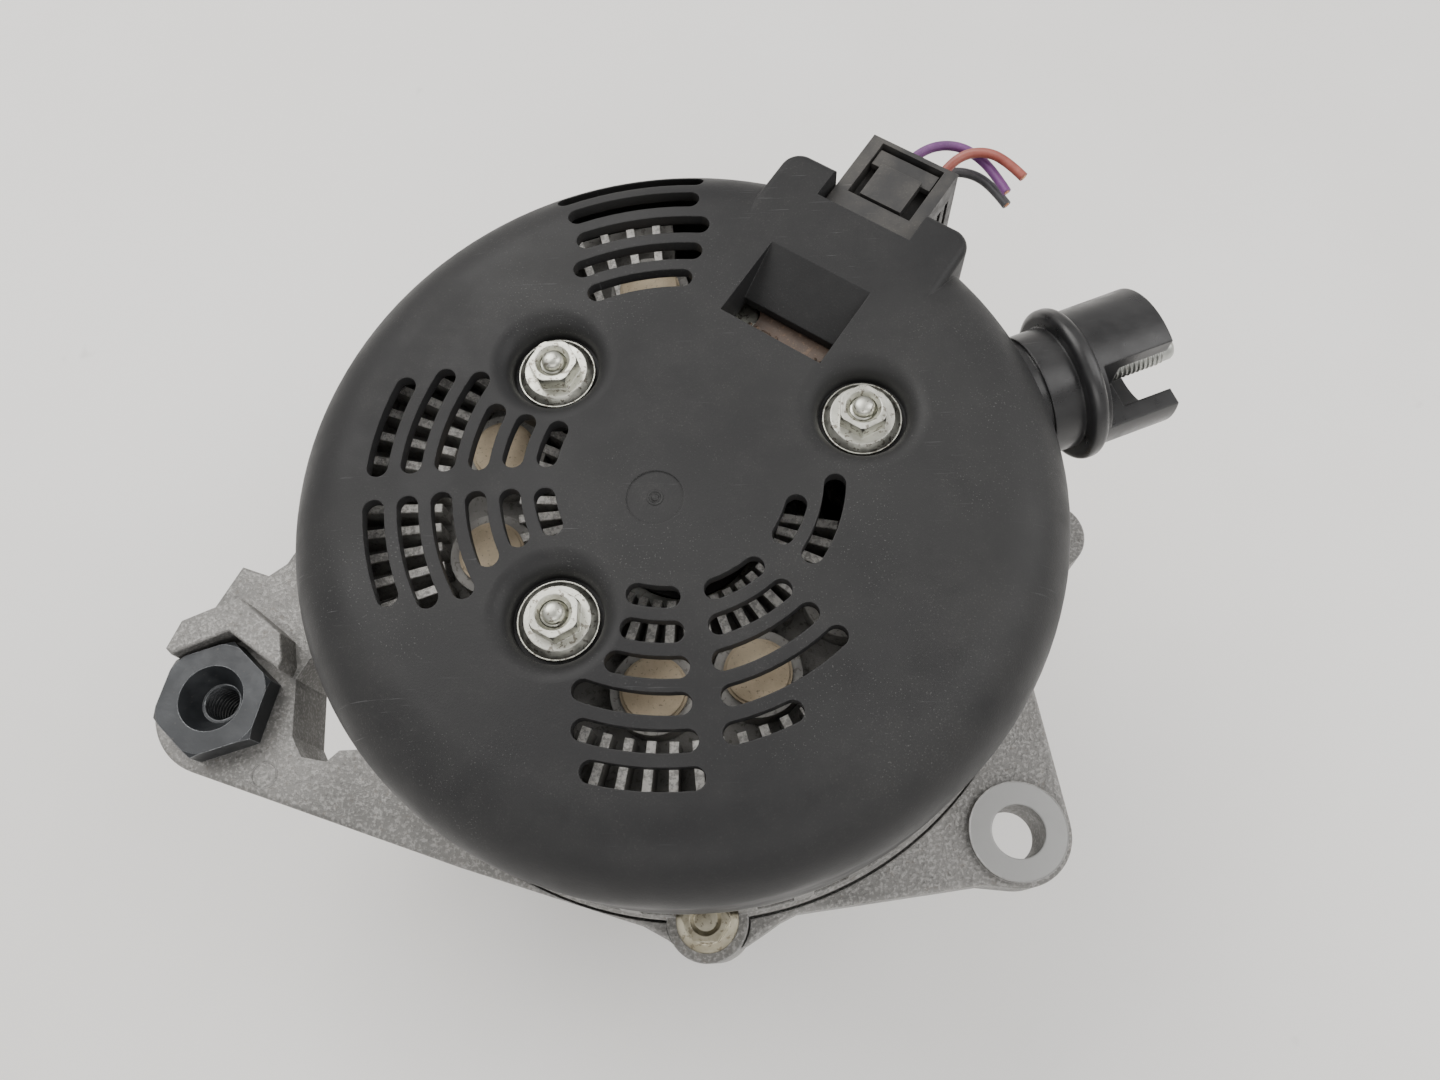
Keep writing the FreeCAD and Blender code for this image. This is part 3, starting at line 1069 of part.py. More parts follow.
def terminal():
    turn, side, z = "terminal_turn", "terminal_side", "terminal_z"
    neck = radial_cylinder("terminal_neck_mass", "terminal_from", "80", "terminal_neck", turn, side, z)
    collar = radial_cylinder("terminal_collar", "terminal_step", "terminal_disc + 1",
                             "terminal_neck + 0.6", turn, side, z)
    cup = radial_cylinder("terminal_cup_mass", "terminal_disc + disc_thick - 1", "terminal_to",
                          "terminal_cup", turn, side, z)
    bore = radial_cylinder("terminal_bore", "cup_floor", "110", "terminal_cup - cup_wall", turn, side, z)
    window = radial_box("terminal_window", "window_from", "110", "10", z + " + window_drop",
                        z + " + 20", turn, "terminal_side + window_side - 10")
    stud_way = radial_cylinder("terminal_way_in", "strap_face", "90", "terminal_root", turn, side, z)
    mass = fuse("terminal_mass", [neck, collar, rounded_disc(), cup])
    node("terminal_insulator", cut("terminal_insulator", mass, [bore, window, stud_way]))
    root = radial_cylinder("terminal_rod_root", "strap_face", "cup_floor", "terminal_root", turn, side, z)
    rod = radial_cylinder("terminal_rod", "strap_face - strap_thick", "terminal_tip - 3",
                          "terminal_stud", turn, side, z)
    nose = radial_cylinder("terminal_nose", "terminal_tip - 3.1", "terminal_tip",
                           "terminal_stud - 0.35", turn, side, z)
    node("terminal_stud", fuse("terminal_stud", [root, rod, nose]))
    output_strap(turn, side, z)


def rounded_disc():
    """The insulator's flange, its two rims rounded."""
    centre = at(num("terminal_disc"), -num("terminal_side"), num("terminal_z"), "terminal_turn")
    heading = at(1, 0, 0, "terminal_turn")
    disc = Part.makeCylinder(num("terminal_flange"), num("disc_thick"), centre, heading)
    rims = [edge for edge in disc.Edges if edge.Closed and len(edge.Vertexes) == 1
            and hasattr(edge.Curve, "Radius")]
    return solid("terminal_disc", disc.makeFillet(1.5, rims))


def output_strap(turn, side, z):
    """The bar that carries the current from the upper heat sink to the output stud."""
    bar = sector("strap_bar", "56", "60.5", "positive_low", "sink_thick", "sink_from + sink_sweep",
                 "strap_sweep")
    tab = radial_box("strap_tab", "strap_face - strap_thick", "strap_face", "5", z + " - 5.5",
                     z + " + 5.5", turn, side)
    eye = radial_cylinder("strap_eye", "strap_face - 10", "strap_face + 5", "terminal_stud", turn, side, z)
    node("output_strap", cut("output_strap", fuse("strap_mass", [bar, tab]), [eye]))


# ---- lead wires, cut short ----------------------------------------------------------------------

WIRES = {
    "purple": [(78.5, -4, 127), (86.6, -4, 127), (91.4, -3.8, 127.8), (95.8, -1.4, 128.4),
               (98.3, 2.9, 128.6), (98.1, 7.9, 128.5), (96.4, 12.6, 128.1), (93.9, 16.9, 127.6)],
    "red": [(78.5, 3.2, 126), (86.6, 3.2, 126), (91.3, 3.4, 127.9), (95.7, 5.2, 129.9),
            (97.9, 9.5, 131.2), (97.5, 14.4, 131.5), (96.1, 18.8, 131.1)],
    "grey": [(78.5, 0, 123), (86.6, 0, 123), (91.4, 0.7, 123.6), (95.2, 3.7, 124.4),
             (96.7, 8.4, 124.8), (95.8, 13.3, 124.7), (93.7, 17.7, 124.3)],
}


def wire_ways():
    """The straight holes in the plug's back that the wires sit in."""
    ways = []
    for name, route in WIRES.items():
        start, toward = at(*route[0]), at(*route[1])
        ways.append(solid("way_" + name, Part.makeCylinder(num("wire_way"), 8, start, toward - start)))
    return ways


def tube(points, radius):
    """A round tube along straight runs joined by tangent arcs."""
    edges = []
    radii = []
    last = points[0]
    for before, here, after in zip(points, points[1:], points[2:]):
        way_in = (here - before)
        way_out = (after - here)
        shorter = min(way_in.Length, way_out.Length)
        back = 0.45 * shorter
        way_in.normalize()
        way_out.normalize()
        turn = way_in.getAngle(way_out)
        radii.append(back / math.tan(turn / 2))
        start, end = here - way_in * back, here + way_out * back
        inward = (way_out - way_in).normalize()
        centre = here + inward * (back / math.sin(turn / 2))
        middle = centre - inward * radii[-1]
        edges += [Part.LineSegment(last, start).toShape(), Part.Arc(start, middle, end).toShape()]
        last = end
    edges.append(Part.LineSegment(last, points[-1]).toShape())
    path = Part.Wire(edges)
    first = points[1] - points[0]
    rim = Part.Wire([Part.makeCircle(radius, points[0], first)])
    shape = path.makePipeShell([rim], True, False)
    return shape, path.Length, radii


def wires():
    for name, route in WIRES.items():
        points = [at(*point) for point in route]
        shape, length, radii = tube(points, num("wire_radius"))
        expected = math.pi * num("wire_radius") ** 2 * length
        print("wire_%s length %.1f volume %.1f of %.1f radii %s"
              % (name, length, shape.Volume, expected, " ".join("%.1f" % r for r in radii)))
        node("wire_" + name, solid("wire_" + name, shape))


# ---- everything ---------------------------------------------------------------------------------

cover()
cover_fasteners()
rear_frame()
front_frame()
through_bolts()
slip_nut()
stator()
rotor_poles()
shaft()
slip_rings()
fan("front_fan", "pole_low - fan_plate", "pole_low - fan_plate - blade_tall", 1)
fan("rear_fan", "pole_top", "pole_top + fan_plate - 0.2", -1)
pulley()
bearing("front")
bearing("rear")
bearing_hardware()
rectifier()
regulator()
brushes()
connector()
terminal()
wires()
doc.recompute()

failed = [item.Name for item in doc.Objects if "Invalid" in item.State or "Error" in item.State]
if failed:
    raise RuntimeError("failed: " + ", ".join(failed))
os.makedirs("parts", exist_ok=True)
for item in nodes:
    shape = item.Shape
    if shape.isNull() or not shape.isValid():
        raise RuntimeError("bad shape: " + item.Label)
    print("%-28s solids %2d volume %10.1f" % (item.Label, len(shape.Solids), shape.Volume))
for item in nodes:
    item.Shape.exportStep("parts/%s.step" % item.Label)
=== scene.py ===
import json
import math

import bpy
from mathutils import Matrix, Vector


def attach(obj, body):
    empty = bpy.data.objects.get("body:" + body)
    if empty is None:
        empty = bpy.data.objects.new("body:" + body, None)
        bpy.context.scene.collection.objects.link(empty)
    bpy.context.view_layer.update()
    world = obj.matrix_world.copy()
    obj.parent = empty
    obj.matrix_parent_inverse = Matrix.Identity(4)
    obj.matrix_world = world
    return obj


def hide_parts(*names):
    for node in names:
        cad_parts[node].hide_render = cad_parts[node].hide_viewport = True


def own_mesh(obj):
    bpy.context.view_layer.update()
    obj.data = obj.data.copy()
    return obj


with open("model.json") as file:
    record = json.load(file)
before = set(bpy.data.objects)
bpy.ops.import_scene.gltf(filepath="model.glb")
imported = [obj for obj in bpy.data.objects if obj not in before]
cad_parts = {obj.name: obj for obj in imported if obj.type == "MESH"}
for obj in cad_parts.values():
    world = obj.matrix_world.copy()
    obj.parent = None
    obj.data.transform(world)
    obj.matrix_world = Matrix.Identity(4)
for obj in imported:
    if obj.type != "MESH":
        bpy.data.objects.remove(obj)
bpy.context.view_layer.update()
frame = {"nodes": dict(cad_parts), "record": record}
nodes = frame["nodes"]

MM = 0.001
HOOD_TURN = math.radians(56.0)
TERMINAL_TURN = math.radians(20.5)
TERMINAL_SIDE = 0.3
TERMINAL_HEIGHT = 120.0
SLIP_NUT = (-101.2, -27.3)
RIGHT_LUG = (64.6, -54.8)
REGULATOR_TOP = 133.2
WIRE_RADIUS = 0.001
STATOR_SLOTS = 48
SLOT_DEGREES = 360.0 / STATOR_SLOTS


def beside(reach, side, height, turn=HOOD_TURN):
    """A point in metres at a distance along a direction turned about Z, shifted to its right."""
    return Vector((reach * math.cos(turn) + side * math.sin(turn),
                   reach * math.sin(turn) - side * math.cos(turn), height)) * MM


# ---- camera, wires and lights -------------------------------------------------------------------

def place_camera():
    lens = bpy.data.cameras.new("camera")
    lens.lens = 27.2
    lens.sensor_width = 36.0
    lens.clip_start = 0.01
    camera = bpy.data.objects.new("camera", lens)
    camera.location = (0.01798, -0.07852, 0.31306)
    camera.rotation_euler = (math.radians(21.11), math.radians(3.19), 0.0)
    bpy.context.scene.collection.objects.link(camera)
    bpy.context.scene.camera = camera


WIRES = {
    "purple": [(78.5, -4, 127), (86.6, -4, 127), (91.4, -3.8, 127.8), (95.8, -1.4, 128.4),
               (98.3, 2.9, 128.6), (98.1, 7.9, 128.5), (96.4, 12.6, 128.1), (93.9, 16.9, 127.6)],
    "red": [(78.5, 3.2, 126), (86.6, 3.2, 126), (91.3, 3.4, 127.9), (95.7, 5.2, 129.9),
            (97.9, 9.5, 131.2), (97.5, 14.4, 131.5), (96.1, 18.8, 131.1)],
    "grey": [(78.5, 0, 123), (86.6, 0, 123), (91.4, 0.7, 123.6), (95.2, 3.7, 124.4),
             (96.7, 8.4, 124.8), (95.8, 13.3, 124.7), (93.7, 17.7, 124.3)],
}


def wire_curve(name, points):
    line = bpy.data.curves.new(name, "CURVE")
    line.dimensions = "3D"
    line.bevel_depth = WIRE_RADIUS
    line.bevel_resolution = 5
    line.resolution_u = 8
    line.use_fill_caps = True
    spline = line.splines.new("NURBS")
    spline.points.add(len(points) - 1)
    for point, place in zip(spline.points, points):
        point.co = (*beside(*place), 1.0)
    spline.use_endpoint_u = True
    spline.order_u = 3
    piece = bpy.data.objects.new(name, line)
    bpy.context.scene.collection.objects.link(piece)
    return piece


def area_light(name, place, size, power, colour=(1.0, 1.0, 1.0), target=(0.0, 0.0, 0.1)):
    lamp = bpy.data.lights.new(name, "AREA")
    lamp.shape = "RECTANGLE"
    lamp.size, lamp.size_y = size
    lamp.energy = power
    lamp.color = colour
    piece = bpy.data.objects.new(name, lamp)
    piece.location = place
    heading = Vector(target) - Vector(place)
    piece.rotation_euler = heading.to_track_quat("-Z", "Y").to_euler()
    bpy.context.scene.collection.objects.link(piece)


def studio():
    area_light("key", (-0.45, 0.55, 0.95), (0.9, 0.7), 10.0, (1.0, 0.985, 0.96))
    area_light("side", (0.75, 0.1, 0.8), (0.6, 0.9), 5.2, (1.0, 0.99, 0.98))
    area_light("front", (0.1, -0.9, 0.75), (1.0, 0.5), 4.0, (1.0, 0.985, 0.96))
    world = bpy.data.worlds.new("studio")
    world.use_nodes = True
    back = world.node_tree.nodes["Background"]
    back.inputs["Color"].default_value = (1.0, 0.985, 0.965, 1.0)
    back.inputs["Strength"].default_value = 0.72
    bpy.context.scene.world = world


# ---- mesh code -----------------------------------------------------------------------------------

class Shape:
    """Vertices and faces of one piece, built up from rings and blocks, in millimetres."""

    def __init__(self, turn=None):
        self.points = []
        self.faces = []
        self.turn = turn or Matrix.Identity(4)

    def rings(self, rings, loop=False, caps=True):
        """Join rings of equal count, one after the other."""
        first = len(self.points)
        size = len(rings[0])
        for ring in rings:
            self.points += [self.turn @ Vector(point) for point in ring]
        count = len(rings)
        for row in range(count if loop else count - 1):
            here = first + row * size
            there = first + ((row + 1) % count) * size
            for k in range(size):
                follow = (k + 1) % size
                self.faces.append((here + k, here + follow, there + follow, there + k))
        if caps and not loop:
            self.faces.append(tuple(first + k for k in reversed(range(size))))
            self.faces.append(tuple(first + (count - 1) * size + k for k in range(size)))
        return self

    def lathe(self, profile, sides=48, centre=(0.0, 0.0)):
        """Turn a profile of (radius, height) round an upright line."""
        turns = [2 * math.pi * k / sides for k in range(sides)]
        return self.rings([[(centre[0] + r * math.cos(t), centre[1] + r * math.sin(t), z)
                            for t in turns] for r, z in profile])

    def prism(self, flats, low, high, centre, turn=0.0, crown=0.35):
        """A hexagonal prism with slightly broken ends."""
        corner = flats / math.sqrt(3)
        profile = [(corner - crown, low), (corner, low + crown), (corner, high - crown),
                   (corner - crown, high)]
        turns = [math.radians(turn) + math.pi / 3 * k for k in range(6)]
        return self.rings([[(centre[0] + r * math.cos(t), centre[1] + r * math.sin(t), z)
                            for t in turns] for r, z in profile])

    def tube(self, path, radius, sides=10):
        """A round tube along a list of points, its section carried without twist."""
        path = [Vector(point) for point in path]
        across = None
        rings = []
        for index, here in enumerate(path):
            way = path[min(index + 1, len(path) - 1)] - path[max(index - 1, 0)]
            way.normalize()
            if across is None:
                across = way.orthogonal().normalized()
            across = (across - way * across.dot(way)).normalized()
            up = way.cross(across)
            rings.append([here + (across * math.cos(a) + up * math.sin(a)) * radius
                          for a in (2 * math.pi * k / sides for k in range(sides))])
        return self.rings(rings)

    def block(self, low, high, soft=0.2):
        """A block with its upright and top edges broken."""
        (x0, y0, z0), (x1, y1, z1) = low, high
        def loop(inset, z):
            a, b, c, d = x0 + inset, x1 - inset, y0 + inset, y1 - inset
            return [(a + soft, c, z), (b - soft, c, z), (b, c + soft, z), (b, d - soft, z),
                    (b - soft, d, z), (a + soft, d, z), (a, d - soft, z), (a, c + soft, z)]
        return self.rings([loop(0.0, z0), loop(0.0, z1 - soft), loop(soft, z1)])

    def piece(self, name, angle=35.0):
        mesh = bpy.data.meshes.new(name)
        mesh.from_pydata([point * MM for point in self.points], [], self.faces)
        mesh.validate()
        mesh.shade_smooth()
        mesh.set_sharp_from_angle(angle=math.radians(angle))
        made = bpy.data.objects.new(name, mesh)
        bpy.context.scene.collection.objects.link(made)
        return made


def thread_rings(limit, depth, pitch, start, end, sides=40, steps=8):
    """Rings of a true helical thread. limit gives the crest radius at a height."""
    count = int((end - start) / pitch * steps)
    rings = []
    for j in range(count + 1):
        z = start + (end - start) * j / count
        ring = []
        for k in range(sides):
            turn = 2 * math.pi * k / sides
            phase = (z / pitch - k / sides) % 1.0
            groove = min(1.0, abs(2.0 * phase - 1.0) * 1.35)
            radius = limit(z) - depth * groove
            ring.append((radius * math.cos(turn), radius * math.sin(turn), z))
        rings.append(ring)
    return rings


def round_rings(profile, sides=40):
    return [[(r * math.cos(2 * math.pi * k / sides), r * math.sin(2 * math.pi * k / sides), z)
             for k in range(sides)] for r, z in profile]


STUDS = [(-22.0, 23.0), (-19.2, -24.8), (33.7, 12.0)]


def cover_studs():
    """Studs with a threaded, domed end standing out of each nut."""
    shape = Shape()
    for x, y in STUDS:
        shape.turn = Matrix.Translation((x, y, 0.0))
        shape.rings(round_rings([(2.45, 103.0), (2.45, 108.0)]))
        shape.prism(8.0, 108.0, 134.6, (0.0, 0.0))
        body = thread_rings(lambda z: 2.48, 0.3, 0.8, 134.6, 141.6)
        dome = round_rings([(1.95, 141.8), (1.92, 142.7), (1.75, 143.15), (1.4, 143.5),
                            (0.9, 143.7), (0.4, 143.78)])
        shape.rings(body + dome)
    return shape.piece("cover_stud_ends", 50.0)


def terminal_rod():
    """The output stud: a plain root in the cup's floor, a thread, and a smooth nose."""
    middle = beside(0, TERMINAL_SIDE, TERMINAL_HEIGHT, TERMINAL_TURN) / MM
    shape = Shape(Matrix.Translation(middle)
                  @ Matrix.Rotation(TERMINAL_TURN, 4, "Z") @ Matrix.Rotation(math.pi / 2, 4, "Y"))
    root = round_rings([(2.9, 58.0), (2.95, 60.9), (3.45, 61.05), (3.45, 87.05), (2.7, 87.1)])
    thread = thread_rings(lambda z: 2.98 if z < 100.0 else 2.98 - (z - 100.0) * 0.4, 0.34, 1.0,
                          87.2, 100.4)
    nose = round_rings([(2.6, 100.6), (2.66, 101.0), (2.66, 102.3), (2.35, 102.9), (1.5, 103.26)])
    shape.rings(root + thread + nose)
    return shape.piece("terminal_stud_threaded", 50.0)


def slip_thread():
    """The thread cut in the wall of the mounting nut's hole."""
    shape = Shape(Matrix.Translation((*SLIP_NUT, 0.0)))
    inner = thread_rings(lambda z: 4.2, 0.6, 1.25, 72.2, 89.6)
    outer = round_rings([(4.245, 89.6), (4.245, 72.2)])
    shape.rings(inner + outer, loop=True)
    return shape.piece("slip_nut_thread_ridges", 60.0)


def hairpins():
    """Wire bundles that lean from slot to slot over each end of the core, round a solid ring."""
    shape = Shape()
    for end, outward in ((90.0, 1.0), (60.0, -1.0)):
        sides = 96
        shape.rings([[(r * math.cos(2 * math.pi * k / sides), r * math.sin(2 * math.pi * k / sides),
                       end + outward * z) for k in range(sides)]
                     for r, z in ((55.6, 0.2), (60.4, 0.2), (60.4, 4.4), (55.6, 4.4))], loop=True)
        for layer, (inner, outer) in enumerate(((54.9, 56.4), (59.4, 61.0))):
            lean = 1.0 if layer else -1.0
            for slot in range(STATOR_SLOTS):
                path = []
                for part, height, reach in ((0.0, -0.4, 0.0), (0.0, 1.2, 0.2), (0.6, 3.2, 0.5),
                                            (1.3, 5.2, 0.8), (2.0, 5.9, 0.5), (2.6, 5.2, 0.3),
                                            (3.2, 3.4, 0.2)):
                    turn = math.radians(SLOT_DEGREES * (slot + lean * part))
                    radius = inner + (outer - inner) * reach
                    path.append((radius * math.cos(turn), radius * math.sin(turn),
                                 end + outward * height))
                shape.tube(path, 0.85, 8)
    for slot in range(STATOR_SLOTS):
        shape.turn = Matrix.Rotation(math.radians(SLOT_DEGREES * slot), 4, "Z")
        shape.block((54.4, -1.35, 60.2), (60.4, 1.35, 89.8), 0.3)
    return shape.piece("stator_hairpins", 50.0)


def brush_spring(name, height):
    """A coil of wire behind a brush."""
    path = []
    turns, start, end = 7.5, 18.9, 25.1
    for k in range(int(turns * 14) + 1):
        share = k / (turns * 14)
        angle = 2 * math.pi * turns * share
        across, up = 1.55 * math.cos(angle), 1.55 * math.sin(angle)
        path.append(beside(start + (end - start) * share, across, height + up) / MM)
    return Shape().tube(path, 0.3, 8).piece(name)


def wire_strands():
    """Seven bare strands in the cut end of each wire."""
    shape = Shape()
    for name, route in WIRES.items():
        tip = beside(*route[-1]) / MM
        way = (tip - beside(*route[-2]) / MM).normalized()
        side = way.orthogonal().normalized()
        for k in range(7):
            offset = Vector() if k == 0 else Matrix.Rotation(k * math.pi / 3, 3, way) @ side * 0.42
            shape.tube([tip - way * 0.6 + offset, tip - way * 0.1 + offset,
                        tip + way * 0.12 + offset * 0.9], 0.19, 8)
    return shape.piece("wire_strand_ends")


def regulator_marks():
    """Plain raised bars and rings on the regulator under the scoop."""
    shape = Shape(Matrix.Rotation(HOOD_TURN, 4, "Z"))
    top = REGULATOR_TOP
    for side in (-7.6, -6.3, 2.4, 6.8, 8.2):
        shape.block((33.2, side - 0.35, top), (37.2, side + 0.35, top + 0.5))
    for reach in (33.6, 36.4):
        shape.block((reach, -9.4, top), (reach + 0.7, -7.0, top + 0.5))
        shape.block((reach, 3.6, top), (reach + 0.7, 5.6, top + 0.5))
    for side in (-3.4, -0.4):
        profile = [(1.2, top), (1.2, top + 0.4), (0.8, top + 0.45), (0.7, top)]
        shape.lathe(profile, 24, (35.2, side))
    return shape.piece("regulator_raised_marks")


def gate_dot():
    """The small moulding point at the middle of the cover."""
    shape = Shape()
    shape.lathe([(1.5, 141.7), (1.45, 141.84), (1.15, 141.86), (1.05, 141.76), (0.6, 141.76),
                 (0.5, 141.9), (0.15, 141.93)], 32, (-2.8, -4.2))
    return shape.piece("cover_moulding_point", 60.0)


def arm_mark():
    """The shallow round ejector mark on the arm."""
    shape = Shape()
    profile = [(2.9, 88.9), (2.9, 89.05), (2.7, 89.09), (2.45, 89.02), (2.4, 88.9)]
    shape.lathe(profile, 40, (-89.9, -42.5))
    return shape.piece("arm_ejector_mark", 60.0)


# ---- materials -----------------------------------------------------------------------------------

class Graph:
    """Short names for the nodes of one material. Textures follow each piece's own metres."""

    def __init__(self, name):
        self.material = bpy.data.materials.new(name)
        self.material.use_nodes = True
        self.tree = self.material.node_tree
        self.tree.nodes.clear()
        output = self.tree.nodes.new("ShaderNodeOutputMaterial")
        self.shader = self.tree.nodes.new("ShaderNodeBsdfPrincipled")
        self.tree.links.new(self.shader.outputs[0], output.inputs[0])
        self.place = self.tree.nodes.new("ShaderNodeTexCoord").outputs["Object"]

    def add(self, kind, **settings):
        made = self.tree.nodes.new(kind)
        for key, value in settings.items():
            setattr(made, key, value)
        return made

    def feed(self, socket, value):
        if isinstance(value, bpy.types.NodeSocket):
            self.tree.links.new(value, socket)
        elif hasattr(socket.default_value, "__len__") and len(socket.default_value) == 4:
            socket.default_value = (*value, 1.0)
        else:
            socket.default_value = value

    def math(self, operation, first, second=0.0):
        made = self.add("ShaderNodeMath", operation=operation)
        self.feed(made.inputs[0], first)
        self.feed(made.inputs[1], second)
        return made.outputs[0]

    def span(self, value, low, high, first=0.0, last=1.0):
        """Map low..high smoothly to first..last."""
        made = self.add("ShaderNodeMapRange", interpolation_type="SMOOTHSTEP")
        for socket, amount in zip(made.inputs, (value, low, high, first, last)):
            self.feed(socket, amount)
        return made.outputs[0]

    def mix(self, amount, first, second):
        made = self.add("ShaderNodeMix", data_type="RGBA")
        self.feed(made.inputs["Factor"], amount)
        self.feed(made.inputs[6], first)
        self.feed(made.inputs[7], second)
        return made.outputs[2]

    def noise(self, scale, detail=3.0, rough=0.55, stretch=(1.0, 1.0, 1.0), turn=0.0, place=None):
        where = place or self.place
        if stretch != (1.0, 1.0, 1.0) or turn:
            mapping = self.add("ShaderNodeMapping")
            self.feed(mapping.inputs["Vector"], where)
            mapping.inputs["Rotation"].default_value = (0.0, 0.0, turn)
            mapping.inputs["Scale"].default_value = stretch
            where = mapping.outputs[0]
        made = self.add("ShaderNodeTexNoise")
        self.feed(made.inputs["Vector"], where)
        made.inputs["Scale"].default_value = scale
        made.inputs["Detail"].default_value = detail
        made.inputs["Roughness"].default_value = rough
        return made.outputs["Fac"]

    def axes(self, place=None):
        made = self.add("ShaderNodeSeparateXYZ")
        self.feed(made.inputs[0], place or self.place)
        return made.outputs

    def distance(self, x, y):
        """Distance from an upright line."""
        axes = self.axes()
        across = self.math("POWER", self.math("SUBTRACT", axes[0], x * MM), 2.0)
        along = self.math("POWER", self.math("SUBTRACT", axes[1], y * MM), 2.0)
        return self.math("SQRT", self.math("ADD", across, along))

    def bump(self, height, depth, normal):
        made = self.add("ShaderNodeBump")
        made.inputs["Strength"].default_value = 1.0
        made.inputs["Distance"].default_value = depth
        self.feed(made.inputs["Height"], height)
        self.feed(made.inputs["Normal"], normal)
        return made.outputs[0]

    def soft(self, radius):
        made = self.add("ShaderNodeBevel", samples=4)
        made.inputs["Radius"].default_value = radius
        return made.outputs[0]

    def edge(self, soft):
        """1 along sharp edges, where the softened normal leaves the true one."""
        true = self.add("ShaderNodeNewGeometry").outputs["True Normal"]
        dot = self.add("ShaderNodeVectorMath", operation="DOT_PRODUCT")
        self.feed(dot.inputs[0], soft)
        self.feed(dot.inputs[1], true)
        return self.span(dot.outputs["Value"], 0.97, 0.86)

    def up(self):
        """How far the surface faces straight up."""
        normal = self.add("ShaderNodeNewGeometry").outputs["Normal"]
        return self.axes(normal)[2]


def weathered(name, dark, light, rough, metallic=0.0, patch=25.0, grain=1500.0, depth=0.00002,
              specks=None, dust=None, scratches=None, edge_wear_and_highlight=None, soften=0.00025, turned=False,
              after=None, glint=0.5):
    """One weathered finish: two tones in patches, a fine grain, and specks, dust, scratches and edges
    lightened partly by wear and partly by painted highlight where they are asked for."""
    g = Graph(name)
    colour = g.mix(g.span(g.noise(patch, 6.0, 0.62), 0.34, 0.66), dark, light)
    shine = g.span(g.noise(patch * 4.0, 4.0, 0.6), 0.3, 0.7, rough[0], rough[1])
    height = g.noise(grain, 4.0, 0.65)
    if specks:
        scale, threshold, tint, amount = specks
        spots = g.span(g.noise(scale, 2.0, 0.7), threshold, threshold + 0.05)
        mask = g.math("MULTIPLY", spots, amount)
        colour = g.mix(mask, colour, tint)
    if scratches:
        tint, amount = scratches
        for turn, narrow in ((0.5, 34.0), (-0.9, 40.0), (1.9, 26.0)):
            line = g.span(g.noise(60.0, 3.0, 0.6, (1.0, narrow, 1.0), turn), 0.70, 0.74)
            area = g.span(g.noise(28.0, 2.0, 0.5), 0.45, 0.6)
            mask = g.math("MULTIPLY", g.math("MULTIPLY", line, area), amount)
            colour = g.mix(mask, colour, tint)
            height = g.math("SUBTRACT", height, g.math("MULTIPLY", mask, 0.8))
    if dust:
        tint, amount = dust
        area = g.span(g.noise(55.0, 5.0, 0.7), 0.42, 0.72, 0.15, 1.0)
        facing = g.span(g.up(), 0.1, 0.9, 0.25, 1.0)
        grit = g.span(g.noise(2600.0, 2.0, 0.8), 0.56, 0.70, 0.25, 1.0)
        mask = g.math("MULTIPLY", g.math("MULTIPLY", area, facing), grit)
        mask = g.math("MULTIPLY", mask, amount)
        colour = g.mix(mask, colour, tint)
        shine = g.math("ADD", shine, g.math("MULTIPLY", mask, 0.25))
    if turned:
        reach = g.distance(0.0, 0.0)
        axes = g.axes()
        joined = g.add("ShaderNodeCombineXYZ")
        g.feed(joined.inputs[0], reach)
        g.feed(joined.inputs[1], axes[2])
        lines = g.noise(5200.0, 2.0, 0.7, place=joined.outputs[0])
        height = g.math("ADD", g.math("MULTIPLY", height, 0.4), lines)
    soft = g.soft(soften)
    # sharp edges lightened, partly by wear chips and partly by painted highlight
    if edge_wear_and_highlight:
        tint, amount = edge_wear_and_highlight
        mask = g.math("MULTIPLY", g.edge(soft), amount)
        chips = g.span(g.noise(900.0, 3.0, 0.7), 0.35, 0.6, 0.4, 1.0)
        colour = g.mix(g.math("MULTIPLY", mask, chips), colour, tint)
    if after:
        colour, shine, height = after(g, colour, shine, height)
    g.feed(g.shader.inputs["Base Color"], colour)
    g.feed(g.shader.inputs["Roughness"], shine)
    g.shader.inputs["Metallic"].default_value = metallic
    g.shader.inputs["Specular IOR Level"].default_value = glint
    g.feed(g.shader.inputs["Normal"], g.bump(height, depth, soft))
    return g.material


def cover_details(g, colour, shine, height):
    """Painted glints in patches on the pebbled surface, a lighter line at the rim, and a slow wave."""
    # painted glints: bright specks in patches on the pebbled plastic
    painted_glints = g.span(g.noise(3400.0, 1.0, 0.5), 0.66, 0.74)
    area = g.span(g.noise(38.0, 4.0, 0.6), 0.44, 0.64)
    colour = g.mix(g.math("MULTIPLY", g.math("MULTIPLY", painted_glints, area), 0.14), colour,
                   (0.34, 0.34, 0.33))
    rim = g.span(g.axes()[2], 0.1062, 0.1056)
    colour = g.mix(g.math("MULTIPLY", rim, 0.5), colour, (0.16, 0.16, 0.15))
    wave = g.noise(140.0, 3.0, 0.6)
    height = g.math("ADD", height, g.math("MULTIPLY", wave, 1.6))
    return colour, shine, height


